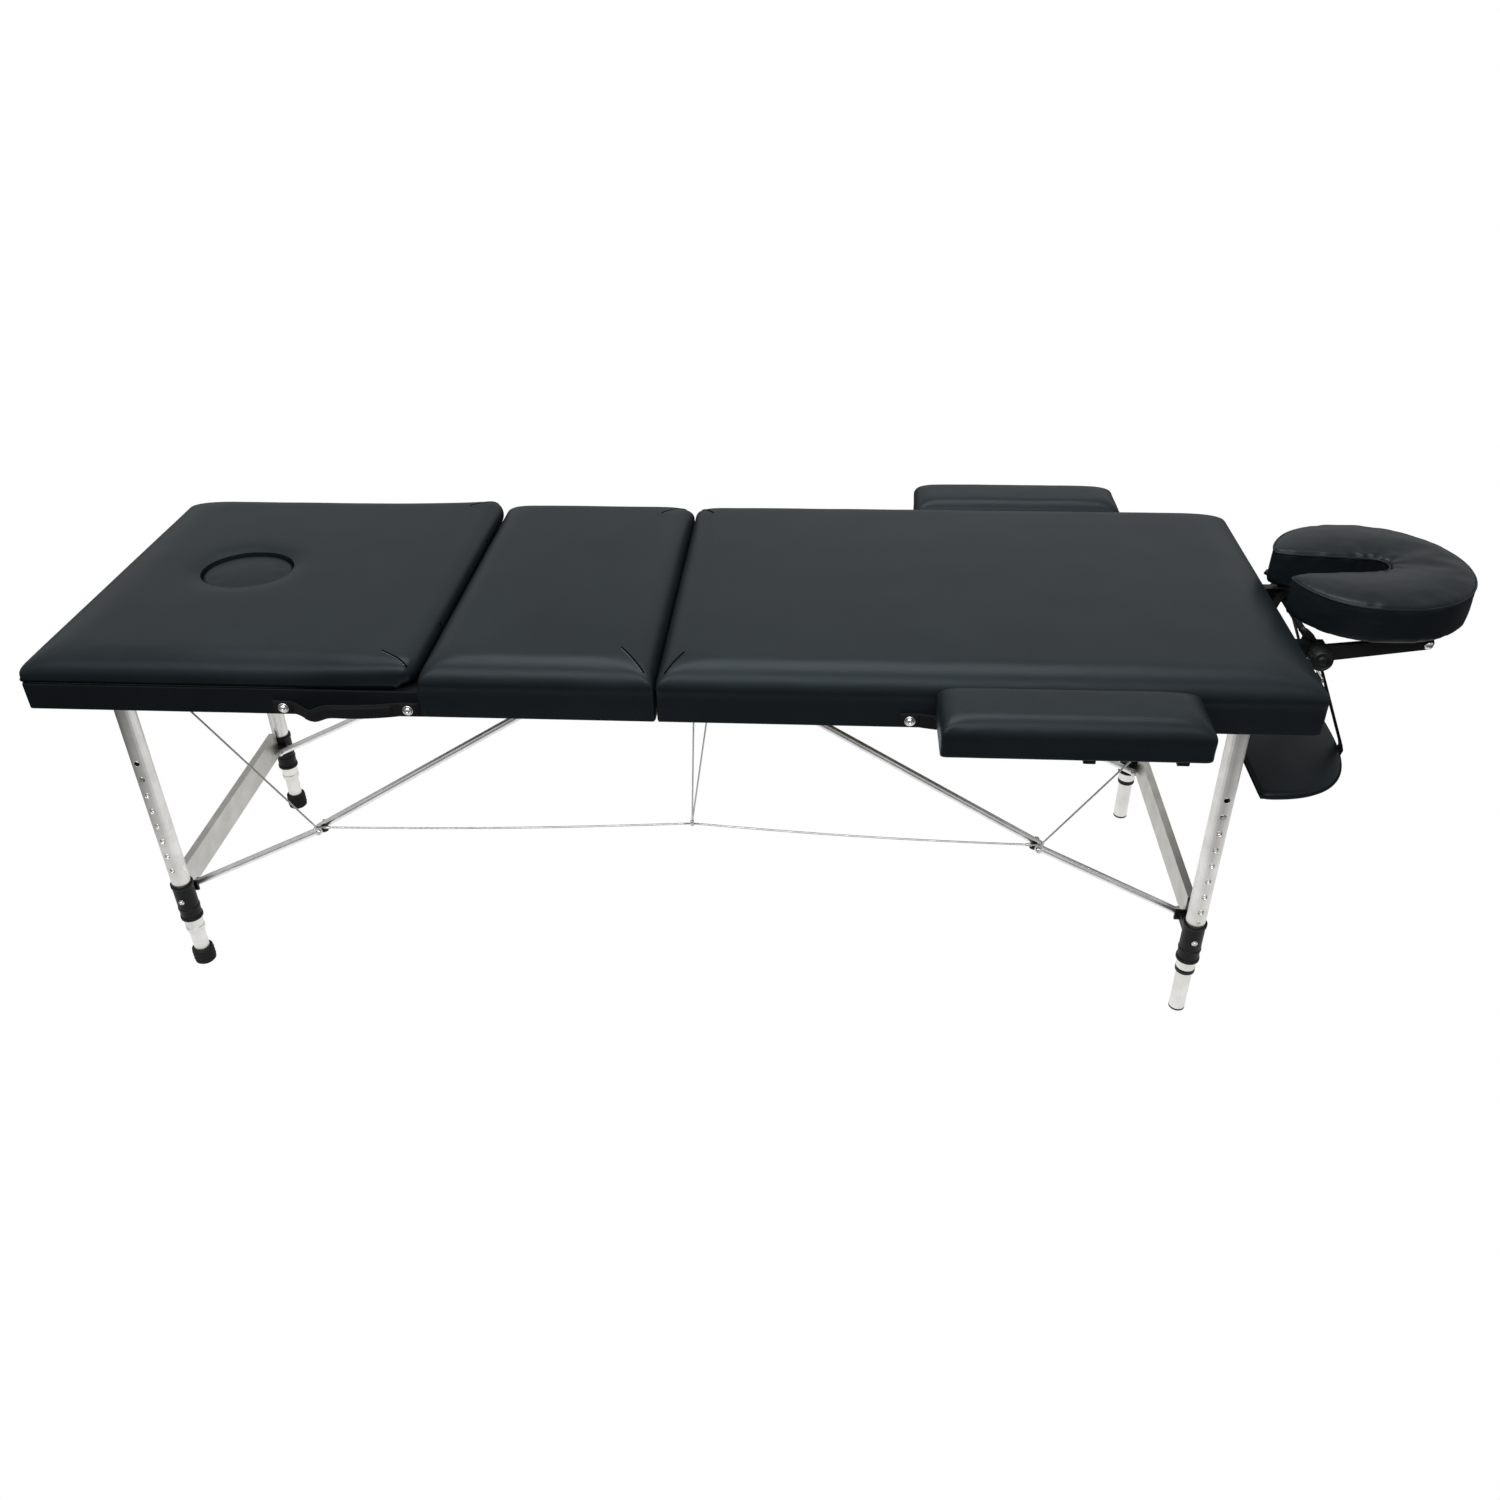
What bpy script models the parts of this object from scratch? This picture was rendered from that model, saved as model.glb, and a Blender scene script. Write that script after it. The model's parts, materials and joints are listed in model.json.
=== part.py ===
"""Portable three-section treatment table: two padded halves that fold like a
case on a piano hinge, a lifting backrest with a face hole, telescopic legs
with braces that fold with the table, a headrest, armrests and an arm sling.

Origin: on the floor under the middle of the overall length. +X runs to the
headrest end, +Y to the far side, +Z up; "left" is -X and "near" is -Y.
Numbers are millimetres from the centre of the two halves; the last lines move
everything to the origin. MM turns them into Blender's metres.
"""
import math

import bmesh
import bpy
from mathutils import Matrix, Vector

MM = 0.001
GAP = 0.3               # running clearance between neighbouring pieces
SIDES = {"left": -1.0, "right": 1.0}     # sign of x
ENDS = {"near": -1.0, "far": 1.0}        # sign of y

# --------------------------------------------------------- shared dimensions
HALF_L = 925.0          # centre of the table to either end of the pads
HALF_W = 300.0          # centre of the table to either side of the pads
CENTRE_X = 139.0        # middle of the overall length, headrest included
RAIL_BOT, RAIL_TOP = 552.0, 594.0
RAIL_T = 16.0
BOARD_T = 3.0           # panel that closes the top of each frame
FRAME_INSET = 1.0       # frame inside the outline of the pads
TOP_Z = 640.0           # upholstered surface
END_R = 9.0             # plan radius of the outer corners
PAD_EDGE = 8.0          # rounding of the pads' top edges
PAD_IN = 1.0            # fold line to either pad

# Joint axes along y, as x, z
BACK_AXIS = (-362.0, 617.5)
PROP_AXIS = (-527.0, 590.0)
HEAD_AXIS = (969.0, 577.0)
TILT_AXIS = (1122.0, 598.0)

LUG_Y = (-150.0, 150.0)                # backrest hinge lugs
HEAD_SOCKET_Y, HEAD_SOCKET_Z = (-92.0, 92.0), 572.0
HEAD_TUBE_X = 838.0                    # inner end of the headrest tubes
ARM_SOCKET_X, ARM_SOCKET_Z = (590.0, 712.0), 573.0

LEG_X = {"left": -827.0, "right": 825.0}
LEG_Y = {"left": 228.0, "right": 264.0}
LEG_PIVOT_Z = 570.0
BRACE_LOW = (8.0, 147.0)     # lower pin: inboard of the leg axis, height
BRACE_TOP = (74.0, 583.0)    # upper pin: from the table's centre, height
LOWER_BRACE_L = 267.0        # lower pin to knee


def brace_pins(side):
    """x, z of a brace's lower pin, knee and upper pin with the table open."""
    s = SIDES[side]
    leg_x = abs(LEG_X[side])
    low_x, low_z = leg_x - BRACE_LOW[0], BRACE_LOW[1]
    top_x, top_z = BRACE_TOP
    # the lower pin's folded place, a quarter turn round the leg pivot, has
    # both braces in one line; this gives the length of the upper one
    folded_x = leg_x - (LEG_PIVOT_Z - low_z)
    folded_z = LEG_PIVOT_Z + BRACE_LOW[0]
    lower = LOWER_BRACE_L
    upper = lower + math.hypot(folded_x - top_x, folded_z - top_z)
    # the knee is the lower crossing of two circles round the pins
    span = math.hypot(low_x - top_x, low_z - top_z)
    along = (lower * lower - upper * upper + span * span) / (2 * span)
    off = math.sqrt(lower * lower - along * along)
    dir_x, dir_z = (top_x - low_x) / span, (top_z - low_z) / span
    knee_x = low_x + along * dir_x - off * dir_z
    knee_z = low_z + along * dir_z + off * dir_x
    return (low_x * s, low_z), (knee_x * s, knee_z), (top_x * s, top_z)


PINS = {side: brace_pins(side) for side in SIDES}

JOINTS = {
    "table_fold": (0.0, RAIL_BOT),
    "left_leg_fold": (LEG_X["left"], LEG_PIVOT_Z),
    "right_leg_fold": (LEG_X["right"], LEG_PIVOT_Z),
    "left_upper_brace": PINS["left"][2],
    "right_upper_brace": PINS["right"][2],
    "left_lower_brace": PINS["left"][0],
    "right_lower_brace": PINS["right"][0],
    "backrest_lift": BACK_AXIS,
    "prop_swing": PROP_AXIS,
    "headrest_slide": (HEAD_TUBE_X, HEAD_SOCKET_Z),
    "headrest_lower": HEAD_AXIS,
    "headrest_tilt": TILT_AXIS,
    "sling_swing": HEAD_AXIS,
}

# Base colour, roughness, metallic
PALETTE = {
    "vinyl": ((0.040, 0.048, 0.050), 0.45, 0.0),
    "wrapped_wood": ((0.020, 0.024, 0.026), 0.50, 0.0),
    "plywood": ((0.30, 0.22, 0.14), 0.60, 0.0),
    "aluminium": ((0.58, 0.57, 0.55), 0.32, 1.0),
    "bright_aluminium": ((0.72, 0.72, 0.70), 0.22, 1.0),
    "steel": ((0.55, 0.55, 0.55), 0.28, 1.0),
    "black_steel": ((0.015, 0.015, 0.016), 0.38, 0.6),
    "black_plastic": ((0.012, 0.012, 0.013), 0.42, 0.0),
    "rubber": ((0.018, 0.018, 0.018), 0.70, 0.0),
    "webbing": ((0.014, 0.014, 0.015), 0.80, 0.0),
}

# --------------------------------------------------------------------- scene
for ob in list(bpy.data.objects):
    bpy.data.objects.remove(ob, do_unlink=True)

scene = bpy.context.scene
parts = bpy.data.collections.new("massage_table")
cutters = bpy.data.collections.new("cutters")
scene.collection.children.link(parts)
scene.collection.children.link(cutters)


# ----------------------------------------------------------- finishing pieces
def material(name, kind):
    rgb, roughness, metallic = PALETTE[kind]
    mat = bpy.data.materials.new(name)
    mat.use_nodes = True
    inputs = mat.node_tree.nodes["Principled BSDF"].inputs
    inputs["Base Color"].default_value = (*rgb, 1.0)
    inputs["Roughness"].default_value = roughness
    inputs["Metallic"].default_value = metallic
    mat.diffuse_color = (*rgb, 1.0)
    return mat


def part(ob, name, kind, joint=None):
    """Name and paint a piece, and hang it from the joint it moves about."""
    ob.name = name
    ob.data.name = name
    ob.data.materials.append(material(f"{name}_{kind}", kind))
    if joint:
        bpy.context.view_layer.update()
        ob.parent = bpy.data.objects[joint]
        ob.matrix_parent_inverse = ob.parent.matrix_world.inverted()


# -------------------------------------------------------------------- solids
def move_to(ob, coll):
    for c in list(ob.users_collection):
        c.objects.unlink(ob)
    coll.objects.link(ob)


def set_size(ob, scale):
    """Scale the mesh itself, leaving the object's scale at 1."""
    ob.data.transform(Matrix.Diagonal((*Vector(scale), 1.0)))


def box(x0, x1, y0, y1, z0, z1):
    bpy.ops.mesh.primitive_cube_add(
        size=1.0,
        location=((x0 + x1) / 2 * MM, (y0 + y1) / 2 * MM, (z0 + z1) / 2 * MM))
    ob = bpy.context.object
    set_size(ob, (abs(x1 - x0) * MM, abs(y1 - y0) * MM, abs(z1 - z0) * MM))
    move_to(ob, parts)
    return ob


def rod(start, end, r, verts=16):
    """A cylinder between two points."""
    a, b = Vector(start) * MM, Vector(end) * MM
    bpy.ops.mesh.primitive_cylinder_add(
        vertices=verts, radius=r * MM, depth=(b - a).length,
        location=(a + b) / 2)
    ob = bpy.context.object
    ob.rotation_mode = "QUATERNION"
    ob.rotation_quaternion = Vector((0, 0, 1)).rotation_difference(b - a)
    move_to(ob, parts)
    return ob


def x_rod(y, z, x0, x1, r, verts=16):
    return rod((x0, y, z), (x1, y, z), r, verts)


def y_rod(x, z, y0, y1, r, verts=16):
    return rod((x, y0, z), (x, y1, z), r, verts)


def z_rod(x, y, z0, z1, r, verts=16):
    return rod((x, y, z0), (x, y, z1), r, verts)


def oval(x, z0, z1, rx, ry, verts):
    """An upright elliptic cylinder centred on y = 0."""
    ob = z_rod(x, 0, z0, z1, 1.0 / MM, verts)
    set_size(ob, (rx * MM, ry * MM, 1.0))
    return ob


def solid_from_curve(ob):
    bpy.context.view_layer.update()
    deps = bpy.context.evaluated_depsgraph_get()
    mesh = bpy.data.meshes.new_from_object(ob.evaluated_get(deps))
    bm = bmesh.new()
    bm.from_mesh(mesh)
    bmesh.ops.remove_doubles(bm, verts=bm.verts, dist=1e-5)
    bmesh.ops.recalc_face_normals(bm, faces=bm.faces)
    bm.to_mesh(mesh)
    bm.free()
    solid = bpy.data.objects.new("solid", mesh)
    solid.matrix_world = ob.matrix_world.copy()
    parts.objects.link(solid)
    bpy.data.objects.remove(ob, do_unlink=True)
    return solid


def polyline(name, dimensions, points):
    """A curve object through x, y, z points."""
    curve = bpy.data.curves.new(name, "CURVE")
    curve.dimensions = dimensions
    spline = curve.splines.new("POLY")
    spline.points.add(len(points) - 1)
    for p, (x, y, z) in zip(spline.points, points):
        p.co = (x * MM, y * MM, z * MM, 1.0)
    ob = bpy.data.objects.new(name, curve)
    parts.objects.link(ob)
    return ob


def prism(points, z0, z1):
    """An upright prism over a closed plan outline."""
    ob = polyline("outline", "2D", [(x, y, 0.0) for x, y in points])
    ob.data.fill_mode = "BOTH"
    ob.data.extrude = (z1 - z0) / 2 * MM
    ob.data.splines[0].use_cyclic_u = True
    ob.location = (0.0, 0.0, (z0 + z1) / 2 * MM)
    return solid_from_curve(ob)


def side_prism(points, y0, y1):
    """A prism over an outline drawn in the XZ plane."""
    ob = prism(points, -(y1 - y0) / 2, (y1 - y0) / 2)
    ob.data.transform(Matrix.Rotation(math.radians(90), 4, "X"))
    ob.location = (0.0, (y0 + y1) / 2 * MM, 0.0)
    return ob


def wire(points, r):
    """A round wire along x, y, z points."""
    ob = polyline("wire", "3D", points)
    ob.data.bevel_depth = r * MM
    ob.data.bevel_resolution = 1
    ob.data.use_fill_caps = True
    return solid_from_curve(ob)


def combine(ob, operation, others):
    for other in others:
        mod = ob.modifiers.new(operation.lower(), "BOOLEAN")
        mod.operation = operation
        mod.solver = "EXACT"
        mod.object = other
        move_to(other, cutters)
        other.hide_render = True
        other.display_type = "WIRE"


def cut(ob, *others):
    combine(ob, "DIFFERENCE", others)


def weld(ob, *others):
    combine(ob, "UNION", others)


def bevel_edges(ob, r, segs, pick=lambda a, b: True):
    """Round the sharp edges of an unrotated solid whose ends satisfy pick."""
    bm = bmesh.new()
    bm.from_mesh(ob.data)
    to_world = Matrix.LocRotScale(ob.location, None, None)
    edges = []
    for e in bm.edges:
        if len(e.link_faces) == 2 and e.calc_face_angle() > math.radians(30):
            a, b = (to_world @ v.co / MM for v in e.verts)
            if pick(a, b):
                edges.append(e)
    bmesh.ops.bevel(bm, geom=edges, offset=r * MM, offset_type="OFFSET",
                    segments=segs, profile=0.5, affect="EDGES")
    bm.to_mesh(ob.data)
    bm.free()


def bevel_top(ob, r, segs, top, pick=lambda a, b: True):
    """Round the edges at height top, or those of them that pick names."""
    bevel_edges(ob, r, segs, lambda a, b: min(a.z, b.z) > top - 1 and pick(a, b))


def arc(cx, cy, r, a0, a1, n=6):
    """n + 1 points round a centre, from a0 to a1 degrees."""
    angles = [math.radians(a0 + (a1 - a0) * i / n) for i in range(n + 1)]
    return [(cx + r * math.cos(a), cy + r * math.sin(a)) for a in angles]


def half_outline(x_in, x_out, hw, r):
    """Plan outline of a half table: square at x_in, rounded at x_out."""
    if x_out > x_in:
        return ([(x_in, -hw)] + arc(x_out - r, -hw + r, r, -90, 0)
                + arc(x_out - r, hw - r, r, 0, 90) + [(x_in, hw)])
    return ([(x_in, hw)] + arc(x_out + r, hw - r, r, 90, 180)
            + arc(x_out + r, -hw + r, r, 180, 270) + [(x_in, -hw)])


# --------------------------------------------------------------- joint empties
for name, (x, z) in JOINTS.items():
    empty = bpy.data.objects.new(name, None)
    empty.empty_display_size = 0.03
    empty.location = (x * MM, 0.0, z * MM)
    parts.objects.link(empty)

# -------------------------------------------------------------------- frames
FRAME_X0 = 3.2          # fold line to the inner rail
CAVITY_X0 = 19.0        # fold line to the cavity
OVERLAP = 1.5           # how far welded fittings sink into the frame's top
BRACKET_W = 9.0         # half width of a brace bracket
LUG_R, LUG_T = 9.0, 2.5       # crown radius and half thickness of a lug


def frame_half(side):
    s = SIDES[side]
    out_x, out_y = HALF_L - FRAME_INSET, HALF_W - FRAME_INSET
    ob = prism(half_outline(FRAME_X0 * s, out_x * s, out_y, END_R - FRAME_INSET),
               RAIL_BOT, RAIL_TOP)
    cut(ob, prism(half_outline(CAVITY_X0 * s, (out_x - RAIL_T) * s, out_y - RAIL_T, 3.0),
                  RAIL_BOT - 5.0, RAIL_TOP - BOARD_T))
    # clearance for the knuckles of the fold hinge
    cut(ob, y_rod(0, RAIL_BOT, -262, 262, 6.2))
    # brackets that carry the upper ends of the braces, each with its pin
    x, z = PINS[side][2]
    for t in ENDS.values():
        weld(ob,
             box(x - BRACKET_W, x + BRACKET_W, t * 171.0, t * 176.0,
                 z - 8, RAIL_TOP - OVERLAP),
             y_rod(x, z, t * 173.0, t * 194.0, 3.4))
    return ob


left_frame = frame_half("left")
# opening under the backrest: the prop and its racks sit in it
cut(left_frame, box(-790, -470, -180, 180, RAIL_TOP - 6, RAIL_TOP + 6))
back_x, back_z = BACK_AXIS
for y in LUG_Y:
    base_z = RAIL_TOP - OVERLAP
    lug = ([(back_x - LUG_R, base_z), (back_x + LUG_R, base_z)]
           + arc(back_x, back_z, LUG_R, 0, 180, 8))
    weld(left_frame, side_prism(lug, y - LUG_T, y + LUG_T),
         y_rod(back_x, back_z, y - 9, y + 9, 4.0))
part(left_frame, "left_frame", "wrapped_wood")

right_frame = frame_half("right")
for y in HEAD_SOCKET_Y:      # in the end rail
    cut(right_frame, x_rod(y, HEAD_SOCKET_Z, 890, 940, 6.8, 20))
for x in ARM_SOCKET_X:       # through both side rails
    cut(right_frame, y_rod(x, ARM_SOCKET_Z, -320, 320, 5.8, 20))
part(right_frame, "right_frame", "wrapped_wood", "table_fold")

# ---------------------------------------------------------------- fold hinge
HINGE_HALF_L = 255
KNUCKLE_R = 5.2
HINGE_PIN_R, HINGE_BORE_R = 2.4, 2.8
# y ranges of the knuckles on each leaf
LEFT_KNUCKLES = [(-HINGE_HALF_L, -153.3), (-51, 51), (153.3, HINGE_HALF_L)]
RIGHT_KNUCKLES = [(-153, -51.3), (51.3, 153)]


def hinge_leaf(s, own, other):
    """A leaf with its own knuckles and room for the other leaf's."""
    ob = box(0.5 * s, 2.9 * s, -HINGE_HALF_L, HINGE_HALF_L, RAIL_BOT + 1.0, RAIL_BOT + 30.0)
    for y0, y1 in own:
        weld(ob, y_rod(0, RAIL_BOT, y0, y1, KNUCKLE_R))
    for y0, y1 in other:
        cut(ob, y_rod(0, RAIL_BOT, y0 - 0.2, y1 + 0.2, KNUCKLE_R + 0.6))
    return ob


leaf = hinge_leaf(-1.0, LEFT_KNUCKLES, RIGHT_KNUCKLES)
weld(leaf, y_rod(0, RAIL_BOT, -254, 254, HINGE_PIN_R, 12))
part(leaf, "fold_hinge_left", "steel")

leaf = hinge_leaf(1.0, RIGHT_KNUCKLES, LEFT_KNUCKLES)
cut(leaf, y_rod(0, RAIL_BOT, -260, 260, HINGE_BORE_R, 12))
part(leaf, "fold_hinge_right", "steel", "table_fold")

# ----------------------------------------------------------------------- pads
NOSE_R = TOP_Z - back_z                  # rounded end of the backrest pad
SEAM_X = back_x + NOSE_R + 1.0           # middle pad's end at the backrest
BOARD_Z0, BOARD_Z1 = RAIL_TOP + 0.6, RAIL_TOP + 9.0      # backrest board
BOARD_INSET = 4.0
FACE_X, FACE_RX, FACE_RY = -695.0, 73.5, 65.5
PLUG_GAP = 1.5

mid_pad = prism([(-PAD_IN, -HALF_W), (-PAD_IN, HALF_W), (SEAM_X, HALF_W), (SEAM_X, -HALF_W)],
                RAIL_TOP + GAP, TOP_Z)
bevel_top(mid_pad, PAD_EDGE, 2, TOP_Z, lambda a, b: abs(a.y - b.y) < 1)
part(mid_pad, "mid_pad", "vinyl")

right_pad = prism(half_outline(PAD_IN, HALF_L, HALF_W, END_R), RAIL_TOP + GAP, TOP_Z)
bevel_top(right_pad, PAD_EDGE, 2, TOP_Z, lambda a, b: max(a.x, b.x) > 5)
part(right_pad, "right_pad", "vinyl", "table_fold")

board = prism(half_outline(back_x - 24.0, -(HALF_L - BOARD_INSET), HALF_W - BOARD_INSET, 6.0),
              BOARD_Z0, BOARD_Z1)
cut(board, z_rod(FACE_X, 0, BOARD_Z0 - 5, BOARD_Z1 + 5, 56.0, 32))
part(board, "backrest_board", "plywood", "backrest_lift")

back_pad = prism(half_outline(back_x, -HALF_L, HALF_W, END_R), BOARD_Z1 + GAP, TOP_Z)
bevel_top(back_pad, PAD_EDGE, 2, TOP_Z, lambda a, b: min(a.x, b.x) < back_x - 5)
nose = y_rod(back_x, back_z, -HALF_W, HALF_W, NOSE_R, 32)
# a quarter turn set outright, since the nose's crest is flush with the pad's top
nose.rotation_quaternion = Matrix.Rotation(math.radians(-90), 4, "X").to_quaternion()
weld(back_pad, nose)
for y in LUG_Y:              # pockets for the hinge lugs
    cut(back_pad, box(back_x - 15, back_x + 40, y - 12, y + 12, RAIL_TOP - 10, back_z + 14))
cut(back_pad, oval(FACE_X, RAIL_TOP - 10, TOP_Z + 10, FACE_RX, FACE_RY, 32))
part(back_pad, "backrest_pad", "vinyl", "backrest_lift")

plug_top = TOP_Z + 2
plug = oval(FACE_X, BOARD_Z1 + GAP, plug_top, FACE_RX - PLUG_GAP, FACE_RY - PLUG_GAP, 32)
bevel_top(plug, 6.0, 1, plug_top)
part(plug, "face_hole_plug", "vinyl", "backrest_lift")

# ------------------------------------------------------------- backrest prop
PROP_L = 200.0
PROP_ARM_Y = 152
CROSS_R = 3.9                # cross rods, just inside the bent wire
RACK_X = (-760, -545)
N_NOTCHES, NOTCH_PITCH = 7, 27.0
prop_x, prop_z = PROP_AXIS
prop_foot_x = prop_x - PROP_L


def prop_arm(t):
    plan = [(prop_x, 140), (prop_x, 150), (prop_x - 6, PROP_ARM_Y),
            (prop_foot_x + 6, PROP_ARM_Y), (prop_foot_x, PROP_ARM_Y), (prop_foot_x, 170)]
    return wire([(x, t * y, prop_z) for x, y in plan], 4.0)


prop = prop_arm(-1)
weld(prop, prop_arm(1),
     y_rod(prop_foot_x, prop_z, -160, 160, CROSS_R),
     y_rod(prop_x, prop_z, -146, 146, CROSS_R))
part(prop, "backrest_prop", "steel", "prop_swing")

for end, t in ENDS.items():
    rack = box(*RACK_X, t * 158, t * 176, 577, 585)
    # web along the outer side, up to the frame's top
    weld(rack, box(*RACK_X, t * 172.5, t * 176, 578, RAIL_TOP - 0.1))
    for i in range(N_NOTCHES):
        cut(rack, y_rod(prop_foot_x + i * NOTCH_PITCH, 587, t * 150, t * 171.8, 5.0))
    part(rack, "prop_rack_" + end, "steel")

# ------------------------------------------------------------------- handles
STRAP_T0, STRAP_T1 = 0.1, 2.6      # faces of the webbing, out from its seat
STRAP_TAB = 14                     # flat tab beyond each end of the loop
STRAP_BULGE = 15.0
STRAP_STEPS = 12
STRAP_Z = (554.5, 577.5)


def strap_handle(x0, x1):
    seat_y = -(HALF_W + 0.5)
    outer, inner = [], []
    for i in range(STRAP_STEPS + 1):
        t = i / STRAP_STEPS
        x = x0 + (x1 - x0) * t
        bulge = STRAP_BULGE * math.sin(math.pi * t) ** 0.7
        outer.append((x, seat_y - STRAP_T1 - bulge))
        inner.append((x, seat_y - STRAP_T0 - bulge))
    left, right = x0 - STRAP_TAB, x1 + STRAP_TAB
    return prism([(left, seat_y - STRAP_T0), (left, seat_y - STRAP_T1)] + outer
                 + [(right, seat_y - STRAP_T1), (right, seat_y - STRAP_T0)] + inner[::-1],
                 *STRAP_Z)


part(strap_handle(-540, -354), "left_handle", "webbing")
part(strap_handle(356, 542), "right_handle", "webbing", "table_fold")

# ---------------------------------------------------------------------- legs
OUTER_R, OUTER_BORE_R = 15.0, 13.1
INNER_R, INNER_BORE_R = 12.5, 10.4
TUBE_VERTS = 24
OUTER_END_Z = {"left": 72.0, "right": 82.0}
TOP_HOLE_Z = {"left": 417.8, "right": 424.5}
N_HOLES, HOLE_PITCH = 8, 30.4
BUTTON_HOLE = 1              # hole the spring button stands in, from the top
COLLAR_R = 17.0
COLLAR_Z = {"left": (98.0, 170.0), "right": (107.0, 181.0)}
EAR_Y = 212.0                # outer face of the collar's ear
BAR_Z = (136.0, 184.0)       # crossbar between the legs of one half
BAR_T, BAR_WALL = 12.5, 1.8
BAR_OFF = 0.2                # leg axis to the crossbar's inner face
BRACE_R = 6.0
BRACE_PIN_R, UPPER_PIN_R = 3.0, 3.8      # holes at the knee and upper pin
LOWER_Y, UPPER_Y = 200.0, 187.0


def leg_axle(side):
    half = HALF_W - FRAME_INSET - RAIL_T - GAP
    part(y_rod(LEG_X[side], LEG_PIVOT_Z, -half, half, 6.5, 20), side + "_leg_axle", "steel",
         "table_fold" if side == "right" else None)


def crossbar(side):
    s, x = SIDES[side], LEG_X[side]
    z0, z1 = BAR_Z
    bar = box(x + BAR_OFF * s, x + (BAR_OFF + BAR_T) * s, -207.6, 207.6, z0, z1)
    cut(bar, box(x + (BAR_OFF + BAR_WALL) * s, x + (BAR_OFF + BAR_T - BAR_WALL) * s,
                 -215, 215, z0 + BAR_WALL, z1 - BAR_WALL))
    part(bar, side + "_crossbar", "aluminium", side + "_leg_fold")


def outer_leg(side, end):
    """Tube bored for the axle, with a row of holes on its outer face."""
    t = ENDS[end]
    x, y = LEG_X[side], LEG_Y[side] * t
    tube = z_rod(x, y, OUTER_END_Z[side], LEG_PIVOT_Z + 13.5, OUTER_R, TUBE_VERTS)
    cut(tube, z_rod(x, y, OUTER_END_Z[side] - 5, LEG_PIVOT_Z + 25, OUTER_BORE_R, TUBE_VERTS))
    cut(tube, y_rod(x, LEG_PIVOT_Z, y - 30, y + 30, 7.0, 20))
    for i in range(N_HOLES):
        z = TOP_HOLE_Z[side] - HOLE_PITCH * i
        cut(tube, y_rod(x, z, y + 5 * t, y + 25 * t, 4.4, 10))
    part(tube, f"{side}_{end}_outer_leg", "aluminium", side + "_leg_fold")


def collar(side, end):
    """Sleeve with a socket for the crossbar and an ear for the brace."""
    s, t = SIDES[side], ENDS[end]
    x, y = LEG_X[side], LEG_Y[side] * t
    z0, z1 = COLLAR_Z[side]
    root_y = t * (LEG_Y[side] - 4)
    sleeve = z_rod(x, y, z0, z1, COLLAR_R, TUBE_VERTS)
    weld(sleeve,
         box(x + BAR_OFF * s, x + 9.0 * s, t * 208.0, root_y, BAR_Z[0] + 5, z1 - 1),
         box(x + 6 * s, x - 16 * s, t * 207.6, t * EAR_Y, 140, 158))
    if LEG_Y[side] - COLLAR_R > EAR_Y:       # bridge from a distant sleeve to its ear
        weld(sleeve, box(x + 6 * s, x - 9 * s, t * 208.0, root_y, 142, 156))
    cut(sleeve, z_rod(x, y, z0 - 5, z1 + 5, OUTER_R + GAP, TUBE_VERTS))
    part(sleeve, f"{side}_{end}_collar", "black_plastic", side + "_leg_fold")


def inner_leg(side, end):
    """Sliding tube and its spring button."""
    t = ENDS[end]
    x, y = LEG_X[side], LEG_Y[side] * t
    button_z = TOP_HOLE_Z[side] - HOLE_PITCH * BUTTON_HOLE
    foot_z = 4.0 if side == "left" else 0.0
    tube = z_rod(x, y, foot_z, button_z + 16, INNER_R, TUBE_VERTS)
    cut(tube, z_rod(x, y, foot_z + 6, button_z + 20, INNER_BORE_R, TUBE_VERTS))
    cut(tube, y_rod(x, button_z, y + 5 * t, y + 25 * t, 3.9, 10))
    part(tube, f"{side}_{end}_inner_leg", "aluminium", side + "_leg_fold")
    button = y_rod(x, button_z, y + 8.2 * t, y + 16.6 * t, 3.4, 12)
    part(button, f"{side}_{end}_button", "steel", side + "_leg_fold")


def foot_cap(side, end):
    x, y = LEG_X[side], LEG_Y[side] * ENDS[end]
    cap = z_rod(x, y, 0, 30, 17.3, TUBE_VERTS)
    bevel_edges(cap, 2.0, 1)
    cut(cap, z_rod(x, y, 3.7, 40, INNER_R + GAP, TUBE_VERTS))
    part(cap, f"{side}_{end}_foot_cap", "rubber", side + "_leg_fold")


def brace_bar(start, end, y, past_start, past_end):
    """A bar between two pins at x, z that runs on past each of them."""
    (x0, z0), (x1, z1) = start, end
    along = Vector((x1 - x0, 0, z1 - z0)).normalized()
    return rod((x0 - along.x * past_start, y, z0 - along.z * past_start),
               (x1 + along.x * past_end, y, z1 + along.z * past_end), BRACE_R)


def braces(side, end):
    low, knee, top = PINS[side]
    y = LOWER_Y * ENDS[end]
    lower = brace_bar(low, knee, y, 3.5, 10)
    cut(lower, y_rod(*knee, y - 10, y + 10, BRACE_PIN_R, 8))
    part(lower, f"{side}_{end}_lower_brace", "bright_aluminium", side + "_lower_brace")
    y = UPPER_Y * ENDS[end]
    upper = brace_bar(knee, top, y, 9, 4)
    cut(upper, y_rod(*knee, y - 10, y + 10, BRACE_PIN_R, 8),
        y_rod(*top, y - 10, y + 10, UPPER_PIN_R, 12))
    part(upper, f"{side}_{end}_upper_brace", "bright_aluminium", side + "_upper_brace")


for side in SIDES:
    leg_axle(side)
    crossbar(side)
    for end in ENDS:
        outer_leg(side, end)
        collar(side, end)
        inner_leg(side, end)
        if side == "left":
            foot_cap(side, end)
        braces(side, end)

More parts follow.
